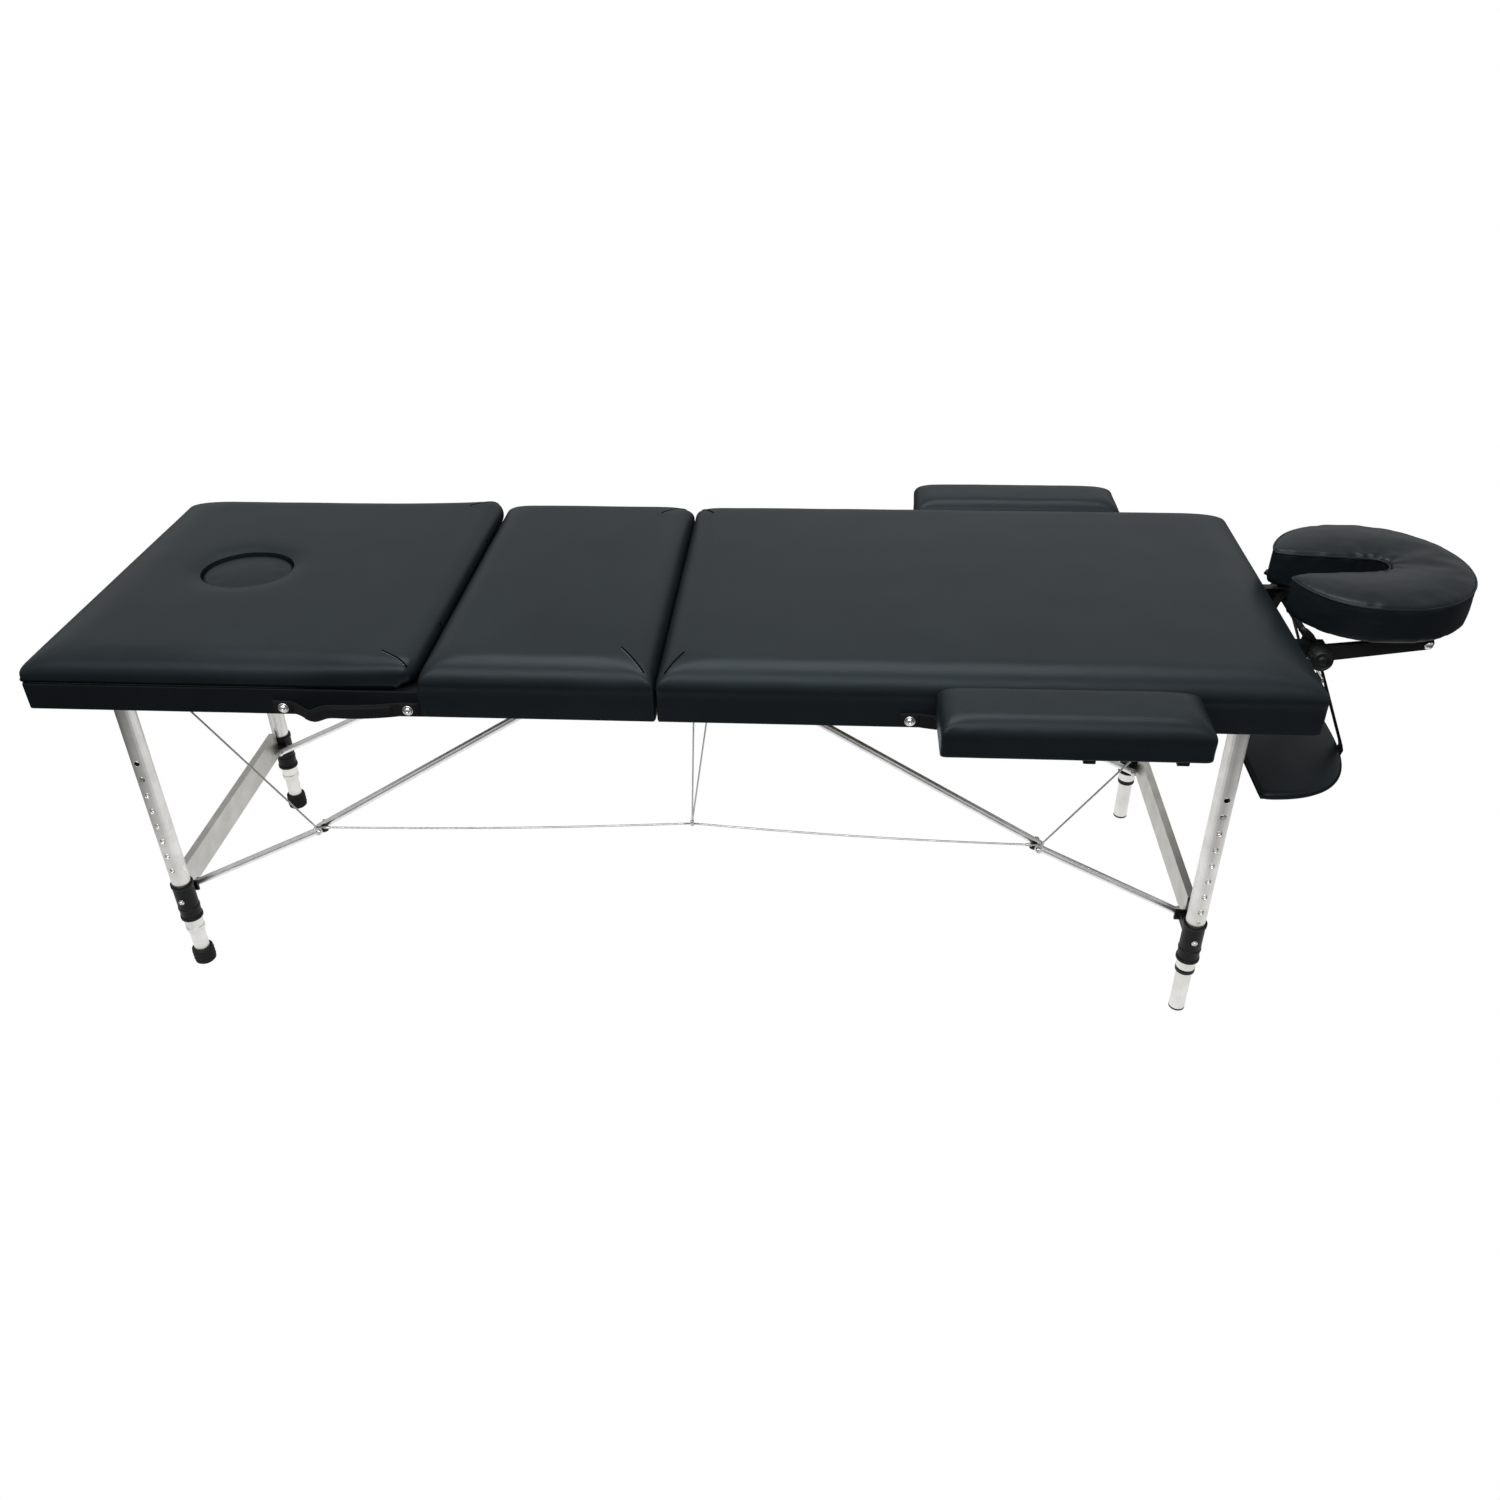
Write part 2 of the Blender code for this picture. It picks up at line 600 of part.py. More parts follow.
# -------------------------------------------------------------------- cables
STAY_X, STAY_Y = 800.0, 209.5
STAY_TOP = RAIL_TOP - BOARD_T - 1.0
STAY_DIP = 306               # low points either side of the middle
KNEE_RISE = 22               # cable above the knees
(left_knee_x, left_knee_z), (right_knee_x, right_knee_z) = PINS["left"][1], PINS["right"][1]
# x, z of the turns
STAY_PATH = [
    (-STAY_X, STAY_TOP), (left_knee_x, left_knee_z + KNEE_RISE), (31, STAY_DIP), (47, STAY_TOP),
    (76, STAY_TOP), (35, STAY_DIP), (right_knee_x, right_knee_z + KNEE_RISE), (STAY_X, STAY_TOP),
]
for end, t in ENDS.items():
    cable = wire([(x, t * STAY_Y, z) for x, z in STAY_PATH], 1.2)
    part(cable, end + "_cable", "steel")

# ------------------------------------------------------------------ armrests
ARM_X0, ARM_X1 = 392, 748
ARM_Y0, ARM_Y1 = 309, 414
ARM_R = 30                   # plan radius of the outer corners
ARM_TOP = 628.0
ARM_OUTLINE = ([(ARM_X0, ARM_Y0), (ARM_X1, ARM_Y0)]
               + arc(ARM_X1 - ARM_R, ARM_Y1 - ARM_R, ARM_R, 0, 90)
               + arc(ARM_X0 + ARM_R, ARM_Y1 - ARM_R, ARM_R, 90, 180))
for end, t in ENDS.items():
    pad = prism([(x, y * t) for x, y in ARM_OUTLINE], 590.0, ARM_TOP)
    bevel_top(pad, 8.0, 2, ARM_TOP)
    part(pad, f"armrest_{end}_pad", "vinyl", "table_fold")
    # plate under the pad, with a block and a peg at each socket
    plate = box(ARM_X0 + 8, ARM_X1 - 8, t * 313, t * 408, 583.6, 589.6)
    for x in ARM_SOCKET_X:
        weld(plate, box(x - 8, x + 8, t * 318, t * 404, 567, 585),
             y_rod(x, ARM_SOCKET_Z, t * 284, t * 402, 5.0, 20))
    part(plate, f"armrest_{end}_frame", "steel", "table_fold")

# ------------------------------------------------------------------ headrest
ARM_IN, ARM_OUT = 104, 112           # y of the swing arms' faces
CUSHION_X = 1065                     # centre of the oval and of the slot's round end
CUSHION_RX, CUSHION_RY = 138.0, 146.0
CUSHION_TOP = 674.0
SLOT_X, SLOT_R, MOUTH = 900.0, 23.0, 38.0      # open end, round end, half mouth
head_x, head_z = HEAD_AXIS
tilt_x, tilt_z = TILT_AXIS

base = y_rod(head_x, head_z, -113, 113, 5.0, 20)
for y in HEAD_SOCKET_Y:
    weld(base, x_rod(y, HEAD_SOCKET_Z, HEAD_TUBE_X, 962, 6.0, 20),
         box(938, 982, y - 8, y + 8, 564.5, 588))
part(base, "headrest_base", "black_steel", "headrest_slide")

slope = math.degrees(math.atan2(tilt_z - head_z, tilt_x - head_x))
ARM_SHAPE = (arc(head_x, head_z, 13.0, slope + 90, slope + 270)
             + arc(tilt_x, tilt_z, 10.0, slope - 90, slope + 90))
arms = side_prism(ARM_SHAPE, -ARM_OUT, -ARM_IN)
weld(arms, side_prism(ARM_SHAPE, ARM_IN, ARM_OUT),
     y_rod((head_x + tilt_x) / 2 + 6, (head_z + tilt_z) / 2 - 2, -108, 108, 5.0, 20))
cut(arms, y_rod(head_x, head_z, -120, 120, 5.4, 20),
    y_rod(tilt_x, tilt_z, -120, 120, 4.4, 20))
part(arms, "headrest_arms", "black_steel", "headrest_lower")


def slot_outline(grow=0.0):
    """The slot that makes the oval a horseshoe, open towards the table."""
    neck_x, neck_y = SLOT_X + 60, SLOT_R + 6 + grow
    return ([(SLOT_X, -(MOUTH + grow)), (neck_x, -neck_y)]
            + arc(CUSHION_X, 0, SLOT_R + grow, -90, 90, 10)
            + [(neck_x, neck_y), (SLOT_X, MOUTH + grow)])


def head_oval(inset, z0, z1):
    return oval(CUSHION_X, z0, z1, CUSHION_RX - inset, CUSHION_RY - inset, 36)


cushion = head_oval(0.0, 613.4, CUSHION_TOP)
bevel_top(cushion, 7.0, 2, CUSHION_TOP)
cut(cushion, prism(slot_outline(), 600, 690))
part(cushion, "headrest_cushion", "vinyl", "headrest_tilt")

platform = head_oval(10.0, 609.4, 613.0)
cut(platform, prism(slot_outline(8.0), 600, 620))
weld(platform, box(tilt_x - 13, tilt_x + 13, -101, -93, 591, 611),
     box(tilt_x - 13, tilt_x + 13, 93, 101, 591, 611),
     y_rod(tilt_x, tilt_z, -116, 116, 4.0, 20))
part(platform, "headrest_platform", "black_steel", "headrest_tilt")

knob = y_rod(head_x, head_z, -131, -113.4, 16.0, 28)
bevel_edges(knob, 2.0, 1)
part(knob, "headrest_knob", "black_plastic", "headrest_lower")

# --------------------------------------------------------------------- sling
SHELF_X, SHELF_L, SHELF_HALF_W = 897, 158, 215
SHELF_STEPS = 20
SHELF_POWER = 2 / 2.8        # half a superellipse, squarer than an ellipse
SHELF_Z0, SHELF_Z1 = 380.0, 393.0
STRAP_FOOT_Z = 393.4
STRAP_Y, STRAP_HALF_W, STRAP_THICK = 70, 11, 2.0

shelf_outline = []
for i in range(SHELF_STEPS + 1):
    a = math.radians(-90 + 180 * i / SHELF_STEPS)
    across = math.copysign(abs(math.sin(a)) ** SHELF_POWER, math.sin(a))
    shelf_outline.append((SHELF_X + SHELF_L * math.cos(a) ** SHELF_POWER,
                          SHELF_HALF_W * across))
part(prism(shelf_outline, SHELF_Z0, SHELF_Z1), "sling_shelf", "vinyl", "sling_swing")


def strap_path(off):
    """Up from the shelf, over the headrest's axis and down again, as x, z."""
    r = 7.2 + off
    return ([(904.0 - off, STRAP_FOOT_Z), (head_x - r, head_z - 3)]
            + arc(head_x, head_z, r, 180, 0, 9)
            + [(head_x + r, head_z - 3), (1050.0 + off, STRAP_FOOT_Z)])


for end, t in ENDS.items():
    strap = side_prism(strap_path(STRAP_THICK) + strap_path(0.0)[::-1],
                       t * STRAP_Y - STRAP_HALF_W, t * STRAP_Y + STRAP_HALF_W)
    part(strap, "sling_strap_" + end, "webbing", "sling_swing")

# --------------------------------------------------------------------- latch
latch = box(925.4, 928.4, -247, -225, 572, 614)
bevel_edges(latch, 1.0, 1)
part(latch, "case_latch", "steel", "table_fold")

# ----------------------------------------------------------- shading, origin
for ob in parts.objects:
    if ob.type == "MESH":
        ob.data.shade_smooth()
        ob.data.set_sharp_from_angle(angle=math.radians(35))

# the origin goes under the middle of the overall length
for ob in list(parts.objects) + list(cutters.objects):
    if ob.parent is None:
        ob.location.x -= CENTRE_X * MM
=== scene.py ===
"""Looks of the portable massage table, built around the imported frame."""
import json
import math

import bmesh
import bpy
import numpy as np
from mathutils import Matrix, Vector, noise
from mathutils.bvhtree import BVHTree


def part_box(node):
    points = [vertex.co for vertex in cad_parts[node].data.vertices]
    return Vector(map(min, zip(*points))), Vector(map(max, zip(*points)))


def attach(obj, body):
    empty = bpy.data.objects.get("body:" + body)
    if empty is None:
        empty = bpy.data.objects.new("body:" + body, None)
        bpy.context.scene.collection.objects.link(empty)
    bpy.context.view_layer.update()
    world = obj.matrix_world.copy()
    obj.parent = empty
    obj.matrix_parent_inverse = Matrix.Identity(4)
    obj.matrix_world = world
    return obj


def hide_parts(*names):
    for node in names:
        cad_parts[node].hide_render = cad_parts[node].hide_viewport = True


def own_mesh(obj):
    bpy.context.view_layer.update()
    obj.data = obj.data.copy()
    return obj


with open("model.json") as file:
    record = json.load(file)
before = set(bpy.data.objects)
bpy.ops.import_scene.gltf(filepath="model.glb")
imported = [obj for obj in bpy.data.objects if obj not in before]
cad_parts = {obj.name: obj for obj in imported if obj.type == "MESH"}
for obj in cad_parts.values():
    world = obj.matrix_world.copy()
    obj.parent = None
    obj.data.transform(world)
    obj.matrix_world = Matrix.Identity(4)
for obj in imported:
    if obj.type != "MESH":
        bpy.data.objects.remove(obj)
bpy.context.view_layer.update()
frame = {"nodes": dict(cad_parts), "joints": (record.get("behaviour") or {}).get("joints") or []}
MM = 0.001
COL = bpy.data.collections.new("looks")
bpy.context.scene.collection.children.link(COL)
NODES = frame["nodes"]
J = {j["name"]: j for j in frame["joints"]}
# everything below is written from the fold line; the frame's origin is
# elsewhere along X, and this is the fold line's place in it
FOLD_X = J["table_fold"]["pos_m"][0]


def cbox(name):
    lo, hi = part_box(name)
    d = Vector((FOLD_X, 0, 0))
    return lo - d, hi - d


def joint_at(name):
    x, y, z = J[name]["pos_m"]
    return (x - FOLD_X) / MM, y / MM, z / MM



# ============================================================== materials
def new_mat(name):
    m = bpy.data.materials.new(name)
    m.use_nodes = True
    nt = m.node_tree
    b = nt.nodes["Principled BSDF"]
    return m, nt, b


def node(nt, kind, **kw):
    n = nt.nodes.new(kind)
    for k, v in kw.items():
        if k in n.inputs:
            n.inputs[k].default_value = v
        else:
            setattr(n, k, v)
    return n


def coords(nt, scale=(1, 1, 1)):
    tc = nt.nodes.new("ShaderNodeTexCoord")
    mp = nt.nodes.new("ShaderNodeMapping")
    mp.inputs["Scale"].default_value = scale
    nt.links.new(tc.outputs["Object"], mp.inputs["Vector"])
    return mp.outputs["Vector"]


def ramp(nt, fac, c0, c1, p0=0.3, p1=0.7):
    r = nt.nodes.new("ShaderNodeValToRGB")
    r.color_ramp.elements[0].position = p0
    r.color_ramp.elements[1].position = p1
    r.color_ramp.elements[0].color = (*c0, 1)
    r.color_ramp.elements[1].color = (*c1, 1)
    nt.links.new(fac, r.inputs["Fac"])
    return r.outputs["Color"]


def math_node(nt, op, a, b):
    n = nt.nodes.new("ShaderNodeMath")
    n.operation = op
    for i, v in enumerate((a, b)):
        if v is None:
            continue
        if isinstance(v, (int, float)):
            n.inputs[i].default_value = v
        else:
            nt.links.new(v, n.inputs[i])
    return n.outputs[0]


def bump(nt, bsdf, height, strength, dist):
    b = nt.nodes.new("ShaderNodeBump")
    b.inputs["Strength"].default_value = strength
    b.inputs["Distance"].default_value = dist
    nt.links.new(height, b.inputs["Height"])
    nt.links.new(b.outputs["Normal"], bsdf.inputs["Normal"])
    return b


def vinyl(name, dark, light, rough=0.40, grain=0.5, coat=0.0, spec=0.17):
    """Upholstery vinyl: pebbled grain with painted shade darkening its grooves, faint clouding, soft sheen."""
    m, nt, b = new_mat(name)
    v = coords(nt)
    cloud = node(nt, "ShaderNodeTexNoise", Scale=7.0, Detail=4.0, Roughness=0.6)
    nt.links.new(v, cloud.inputs["Vector"])
    vor = node(nt, "ShaderNodeTexVoronoi", Scale=620.0)
    nt.links.new(v, vor.inputs["Vector"])
    fine = node(nt, "ShaderNodeTexNoise", Scale=1500.0, Detail=3.0, Roughness=0.6)
    nt.links.new(v, fine.inputs["Vector"])
    col = ramp(nt, cloud.outputs["Fac"], dark, light)
    shade = node(nt, "ShaderNodeMix", data_type="RGBA", blend_type="MULTIPLY")
    shade.inputs[0].default_value = 0.35
    nt.links.new(col, shade.inputs[6])
    # painted shade: the colour is darkened towards the grain's cell borders, which the bump below makes the low
    # grooves
    g = ramp(nt, vor.outputs["Distance"], (1, 1, 1), (0.55, 0.55, 0.55), 0.15, 0.75)
    nt.links.new(g, shade.inputs[7])
    nt.links.new(shade.outputs[2], b.inputs["Base Color"])
    r = math_node(nt, "MULTIPLY_ADD", cloud.outputs["Fac"], 0.16)
    r.node.inputs[2].default_value = rough - 0.08
    nt.links.new(r, b.inputs["Roughness"])
    h = math_node(nt, "MULTIPLY_ADD", vor.outputs["Distance"], -0.8)
    nt.links.new(fine.outputs["Fac"], h.node.inputs[2])
    bump(nt, b, h, grain, 0.00016)
    b.inputs["Specular IOR Level"].default_value = spec
    b.inputs["Specular Tint"].default_value = (0.80, 0.93, 1.0, 1)
    b.inputs["Coat Weight"].default_value = coat
    b.inputs["Coat Roughness"].default_value = 0.32
    return m


def metal(name, rgb, rough, along=2, grain=0.25, spots=0.0):
    """Metal with fine draw lines along one axis."""
    m, nt, b = new_mat(name)
    sc = [900.0, 900.0, 900.0]
    sc[along] = 14.0
    v = coords(nt, tuple(sc))
    n1 = node(nt, "ShaderNodeTexNoise", Scale=1.0, Detail=3.0, Roughness=0.6)
    nt.links.new(v, n1.inputs["Vector"])
    v2 = coords(nt)
    n2 = node(nt, "ShaderNodeTexNoise", Scale=22.0, Detail=4.0, Roughness=0.6)
    nt.links.new(v2, n2.inputs["Vector"])
    lo = tuple(c * 0.86 for c in rgb)
    hi = tuple(min(1.0, c * 1.10) for c in rgb)
    nt.links.new(ramp(nt, n2.outputs["Fac"], lo, hi), b.inputs["Base Color"])
    b.inputs["Metallic"].default_value = 1.0
    r = math_node(nt, "MULTIPLY_ADD", n1.outputs["Fac"], 0.10)
    r.node.inputs[2].default_value = rough - 0.05
    nt.links.new(r, b.inputs["Roughness"])
    bump(nt, b, n1.outputs["Fac"], grain, 0.00008)
    return m


def plastic(name, rgb, rough, scale=700.0, strength=0.25, dist=0.0001, metallic=0.0):
    m, nt, b = new_mat(name)
    v = coords(nt)
    n1 = node(nt, "ShaderNodeTexNoise", Scale=scale, Detail=3.0, Roughness=0.55)
    nt.links.new(v, n1.inputs["Vector"])
    n2 = node(nt, "ShaderNodeTexNoise", Scale=30.0, Detail=3.0, Roughness=0.6)
    nt.links.new(v, n2.inputs["Vector"])
    lo = tuple(c * 0.75 for c in rgb)
    hi = tuple(c * 1.35 for c in rgb)
    nt.links.new(ramp(nt, n2.outputs["Fac"], lo, hi), b.inputs["Base Color"])
    r = math_node(nt, "MULTIPLY_ADD", n2.outputs["Fac"], 0.2)
    r.node.inputs[2].default_value = rough - 0.1
    nt.links.new(r, b.inputs["Roughness"])
    b.inputs["Metallic"].default_value = metallic
    b.inputs["Specular IOR Level"].default_value = 0.22
    bump(nt, b, n1.outputs["Fac"], strength, dist)
    return m


def webbing(name, rgb, axis=0):
    """Woven strap: fine ribs across and along, with painted shade in the weave's low spots and painted highlight on
    its ribs.
    """
    m, nt, b = new_mat(name)
    v = coords(nt)
    w1 = node(nt, "ShaderNodeTexWave", Scale=420.0, Distortion=0.6)
    w1.bands_direction = "XYZ"[axis]
    w2 = node(nt, "ShaderNodeTexWave", Scale=300.0, Distortion=0.6)
    w2.bands_direction = "XYZ"[2 if axis != 2 else 0]
    nt.links.new(v, w1.inputs["Vector"])
    nt.links.new(v, w2.inputs["Vector"])
    h = math_node(nt, "MULTIPLY", w1.outputs["Fac"], w2.outputs["Fac"])
    lo = tuple(c * 0.6 for c in rgb)
    hi = tuple(c * 1.5 for c in rgb)
    # painted light: the colour follows the weave's height, darker in the low spots and lighter on the raised ribs
    nt.links.new(ramp(nt, h, lo, hi, 0.1, 0.9), b.inputs["Base Color"])
    b.inputs["Roughness"].default_value = 0.78
    b.inputs["Sheen Weight"].default_value = 0.02
    b.inputs["Specular IOR Level"].default_value = 0.12
    bump(nt, b, h, 0.6, 0.0002)
    return m


def wood(name):
    m, nt, b = new_mat(name)
    v = coords(nt, (1.2, 9.0, 9.0))
    w = node(nt, "ShaderNodeTexNoise", Scale=9.0, Detail=6.0, Roughness=0.62, Distortion=0.9)
    nt.links.new(v, w.inputs["Vector"])
    f = node(nt, "ShaderNodeTexNoise", Scale=160.0, Detail=3.0, Roughness=0.6)
    nt.links.new(v, f.inputs["Vector"])
    nt.links.new(ramp(nt, w.outputs["Fac"], (0.30, 0.19, 0.10), (0.50, 0.36, 0.22)), b.inputs["Base Color"])
    b.inputs["Roughness"].default_value = 0.62
    bump(nt, b, f.outputs["Fac"], 0.25, 0.0002)
    return m


def frame_material(name):
    """Black wrapped outside, darkened like the side vinyl as painted shade; bare plywood inside the hollow underside.
    """
    m, nt, b = new_mat(name)
    geo = nt.nodes.new("ShaderNodeNewGeometry")
    tc = nt.nodes.new("ShaderNodeTexCoord")
    sep = nt.nodes.new("ShaderNodeSeparateXYZ")
    nt.links.new(tc.outputs["Object"], sep.inputs[0])
    off = NODES["left_frame"].matrix_world.translation.x - FOLD_X
    ax = math_node(nt, "ABSOLUTE", math_node(nt, "ADD", sep.outputs[0], off), None)
    ay = math_node(nt, "ABSOLUTE", sep.outputs[1], None)
    in_x = math_node(nt, "LESS_THAN", ax, 0.9085)
    out_mid = math_node(nt, "GREATER_THAN", ax, 0.0185)
    in_y = math_node(nt, "LESS_THAN", ay, 0.2835)
    low = math_node(nt, "LESS_THAN", sep.outputs[2], 0.5925)
    inside = math_node(nt, "MULTIPLY", math_node(nt, "MULTIPLY", in_x, out_mid), math_node(nt, "MULTIPLY", in_y, low))
    v = coords(nt, (1.2, 9.0, 9.0))
    w = node(nt, "ShaderNodeTexNoise", Scale=9.0, Detail=6.0, Roughness=0.62, Distortion=0.9)
    nt.links.new(v, w.inputs["Vector"])
    wood_c = ramp(nt, w.outputs["Fac"], (0.27, 0.18, 0.10), (0.46, 0.34, 0.21))
    v2 = coords(nt)
    cl = node(nt, "ShaderNodeTexNoise", Scale=40.0, Detail=4.0, Roughness=0.6)
    nt.links.new(v2, cl.inputs["Vector"])
    # painted shade: the outside black is the same darker tone as the side vinyl, below the pad vinyl's
    black = ramp(nt, cl.outputs["Fac"], (0.0055, 0.0072, 0.0082), (0.0080, 0.0100, 0.0115))
    mix = node(nt, "ShaderNodeMix", data_type="RGBA")
    nt.links.new(inside, mix.inputs[0])
    nt.links.new(black, mix.inputs[6])
    nt.links.new(wood_c, mix.inputs[7])
    nt.links.new(mix.outputs[2], b.inputs["Base Color"])
    b.inputs["Roughness"].default_value = 0.5
    b.inputs["Specular IOR Level"].default_value = 0.15
    g = node(nt, "ShaderNodeTexNoise", Scale=900.0, Detail=2.0)
    nt.links.new(v2, g.inputs["Vector"])
    bump(nt, b, g.outputs["Fac"], 0.25, 0.00015)
    return m


MAT = {
    "vinyl": vinyl("looks_vinyl", (0.0066, 0.0095, 0.0110), (0.0090, 0.0126, 0.0148)),
    # painted shade: a darker, less shiny copy of the vinyl for vertical sides, standing in for the shade that falls on
    # them
    "vinyl_painted_shade": vinyl("looks_vinyl_painted_shade", (0.0055, 0.0072, 0.0082), (0.0080, 0.0100, 0.0115), rough=0.44, spec=0.1),
    "cover": vinyl("looks_vinyl_soft", (0.0056, 0.0078, 0.0092), (0.0076, 0.0104, 0.0122), rough=0.36, grain=0.35, spec=0.17),
    "alu": metal("looks_aluminium", (0.88, 0.87, 0.83), 0.40, grain=0.12),
    "alu_x": metal("looks_aluminium_bar", (0.62, 0.61, 0.57), 0.42, along=1, grain=0.08),
    "bright": metal("looks_aluminium_bright", (0.93, 0.93, 0.91), 0.36, along=0, grain=0.0),
    "steel": metal("looks_steel", (0.78, 0.78, 0.76), 0.26, along=1, grain=0.12),
    "cable": metal("looks_cable", (0.62, 0.61, 0.59), 0.34, along=1, grain=0.1),
    "black_steel": plastic("looks_black_steel", (0.0045, 0.0048, 0.0055), 0.42, scale=400.0, strength=0.15, metallic=0.0),
    "black_plastic": plastic("looks_black_plastic", (0.0050, 0.0053, 0.0060), 0.46),
    "rubber": plastic("looks_rubber", (0.014, 0.014, 0.014), 0.66, scale=260.0, strength=0.4, dist=0.0003),
    "web": webbing("looks_webbing", (0.0085, 0.009, 0.010)),
    "web_y": webbing("looks_webbing_sling", (0.0085, 0.009, 0.010), axis=1),
    "wood": wood("looks_plywood"),
    "frame": frame_material("looks_wrapped_frame"),
    # partly painted highlight: real stitches, made light so that they also stand for the highlight along one side of
    # each dart
    "thread": plastic("looks_thread_and_painted_highlight", (0.10, 0.115, 0.12), 0.6, scale=900.0, strength=0.3),
    # painted shade: a near-black, almost unreflective material for the seam lines and piping, standing in for the
    # shade in their creases
    "dark": plastic("looks_painted_crease_shade", (0.0015, 0.0016, 0.0018), 0.8),
}
for k, spec in (("dark", 0.02), ("black_steel", 0.22), ("black_plastic", 0.24)):
    for nd in MAT[k].node_tree.nodes:
        if nd.type == "BSDF_PRINCIPLED":
            nd.inputs["Specular IOR Level"].default_value = spec


# ============================================================ mesh helpers
def link(ob, mat, body):
    if ob.name not in COL.objects:
        for c in list(ob.users_collection):
            c.objects.unlink(ob)
        COL.objects.link(ob)
    ob.data.materials.clear()
    ob.data.materials.append(MAT[mat])
    ob.data.transform(Matrix.Translation((FOLD_X, 0, 0)))
    if body:
        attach(ob, body)
    return ob


def mesh_object(name, verts, faces):
    me = bpy.data.meshes.new(name)
    me.from_pydata([tuple(float(c) * MM for c in v) for v in verts], [], faces)
    me.validate()
    bm = bmesh.new()
    bm.from_mesh(me)
    bmesh.ops.remove_doubles(bm, verts=bm.verts, dist=1e-6)
    bmesh.ops.recalc_face_normals(bm, faces=bm.faces)
    bm.to_mesh(me)
    bm.free()
    me.shade_smooth()
    ob = bpy.data.objects.new(name, me)
    COL.objects.link(ob)
    return ob


def apply_modifiers(ob):
    bpy.context.view_layer.update()
    deps = bpy.context.evaluated_depsgraph_get()
    me = bpy.data.meshes.new_from_object(ob.evaluated_get(deps))
    ob.modifiers.clear()
    old = ob.data
    ob.data = me
    me.name = ob.name
    if old.users == 0:
        bpy.data.meshes.remove(old)
    return ob


def subdivide(ob, levels=1):
    m = ob.modifiers.new("sub", "SUBSURF")
    m.levels = levels
    m.render_levels = levels
    return apply_modifiers(ob)


def axis_steps(a, b, edge, ne, n, k=1.15):
    """Positions from a to b, closer together within `edge` of both ends."""
    e = [a + edge * (i / ne) ** k for i in range(ne)]
    mid = [a + edge + (b - a - 2 * edge) * i / n for i in range(n + 1)]
    f = [b - edge * (i / ne) ** k for i in range(ne)][::-1]
    return e + mid + f


def box_shell(xs, ys, zs, bottom=True):
    """A box's surface on a grid. Returns (vertex array in mm, faces)."""
    nx, ny, nz = len(xs) - 1, len(ys) - 1, len(zs) - 1
    ids, verts, faces = {}, [], []

    def vid(i, j, k):
        if (i, j, k) not in ids:
            ids[(i, j, k)] = len(verts)
            verts.append((xs[i], ys[j], zs[k]))
        return ids[(i, j, k)]

    for i in range(nx):
        for j in range(ny):
            faces.append((vid(i, j, nz), vid(i + 1, j, nz), vid(i + 1, j + 1, nz), vid(i, j + 1, nz)))
            if bottom:
                faces.append((vid(i, j, 0), vid(i, j + 1, 0), vid(i + 1, j + 1, 0), vid(i + 1, j, 0)))
    for k in range(nz):
        for i in range(nx):
            faces.append((vid(i, 0, k), vid(i + 1, 0, k), vid(i + 1, 0, k + 1), vid(i, 0, k + 1)))
            faces.append((vid(i, ny, k), vid(i, ny, k + 1), vid(i + 1, ny, k + 1), vid(i + 1, ny, k)))
        for j in range(ny):
            faces.append((vid(0, j, k), vid(0, j, k + 1), vid(0, j + 1, k + 1), vid(0, j + 1, k)))
            faces.append((vid(nx, j, k), vid(nx, j + 1, k), vid(nx, j + 1, k + 1), vid(nx, j, k + 1)))
    return np.array(verts, float), faces


def soft_box(P, x0, x1, y0, y1, z0, z1, Ra, Rb, rt, rb=0.0, rt_end=None):
    """Rounds a box's vertices: plan radii Ra (low x) and Rb (high x), roll rt
    round the top edge, and rb round the bottom edge."""
    P = P.copy()
    xm = (x0 + x1) / 2
    for n in range(len(P)):
        x, y, z = P[n]
        R = Ra if x < xm else Rb
        qx = min(max(x, x0 + Ra), x1 - Rb)
        qy = min(max(y, y0 + R), y1 - R)
        dx, dy = x - qx, y - qy
        rad = max(abs(dx), abs(dy))
        s = R - rad
        r = rt
        h = z1 - z
        if s < r and h < r:
            a, b = r - s, r - h
            m = max(a, b)
            L = math.hypot(a, b)
            a, b = a * m / L, b * m / L
            s, z = r - a, z1 - (r - b)
        hb = P[n][2] - z0
        if rb > 0 and s < rb and hb < rb:
            a, b = rb - s, rb - hb
            m = max(a, b)
            L = math.hypot(a, b)
            if L > 0:
                a, b = a * m / L, b * m / L
                s, z = rb - a, z0 + (rb - b)
        if rad > 0:
            d = math.hypot(dx, dy)
            rad2 = R - s
            x, y = qx + dx / d * rad2, qy + dy / d * rad2
        P[n] = (x, y, z)
    return P


def quarter(s, h, rs, rh):
    """Rolls the corner between a side (distance s) and a face (distance h)."""
    if s >= rs or h >= rh:
        return s, h
    a, b = 1 - s / rs, 1 - h / rh
    m, L = max(a, b), math.hypot(a, b)
    if L == 0:
        return s, h
    return rs * (1 - a * m / L), rh * (1 - b * m / L)


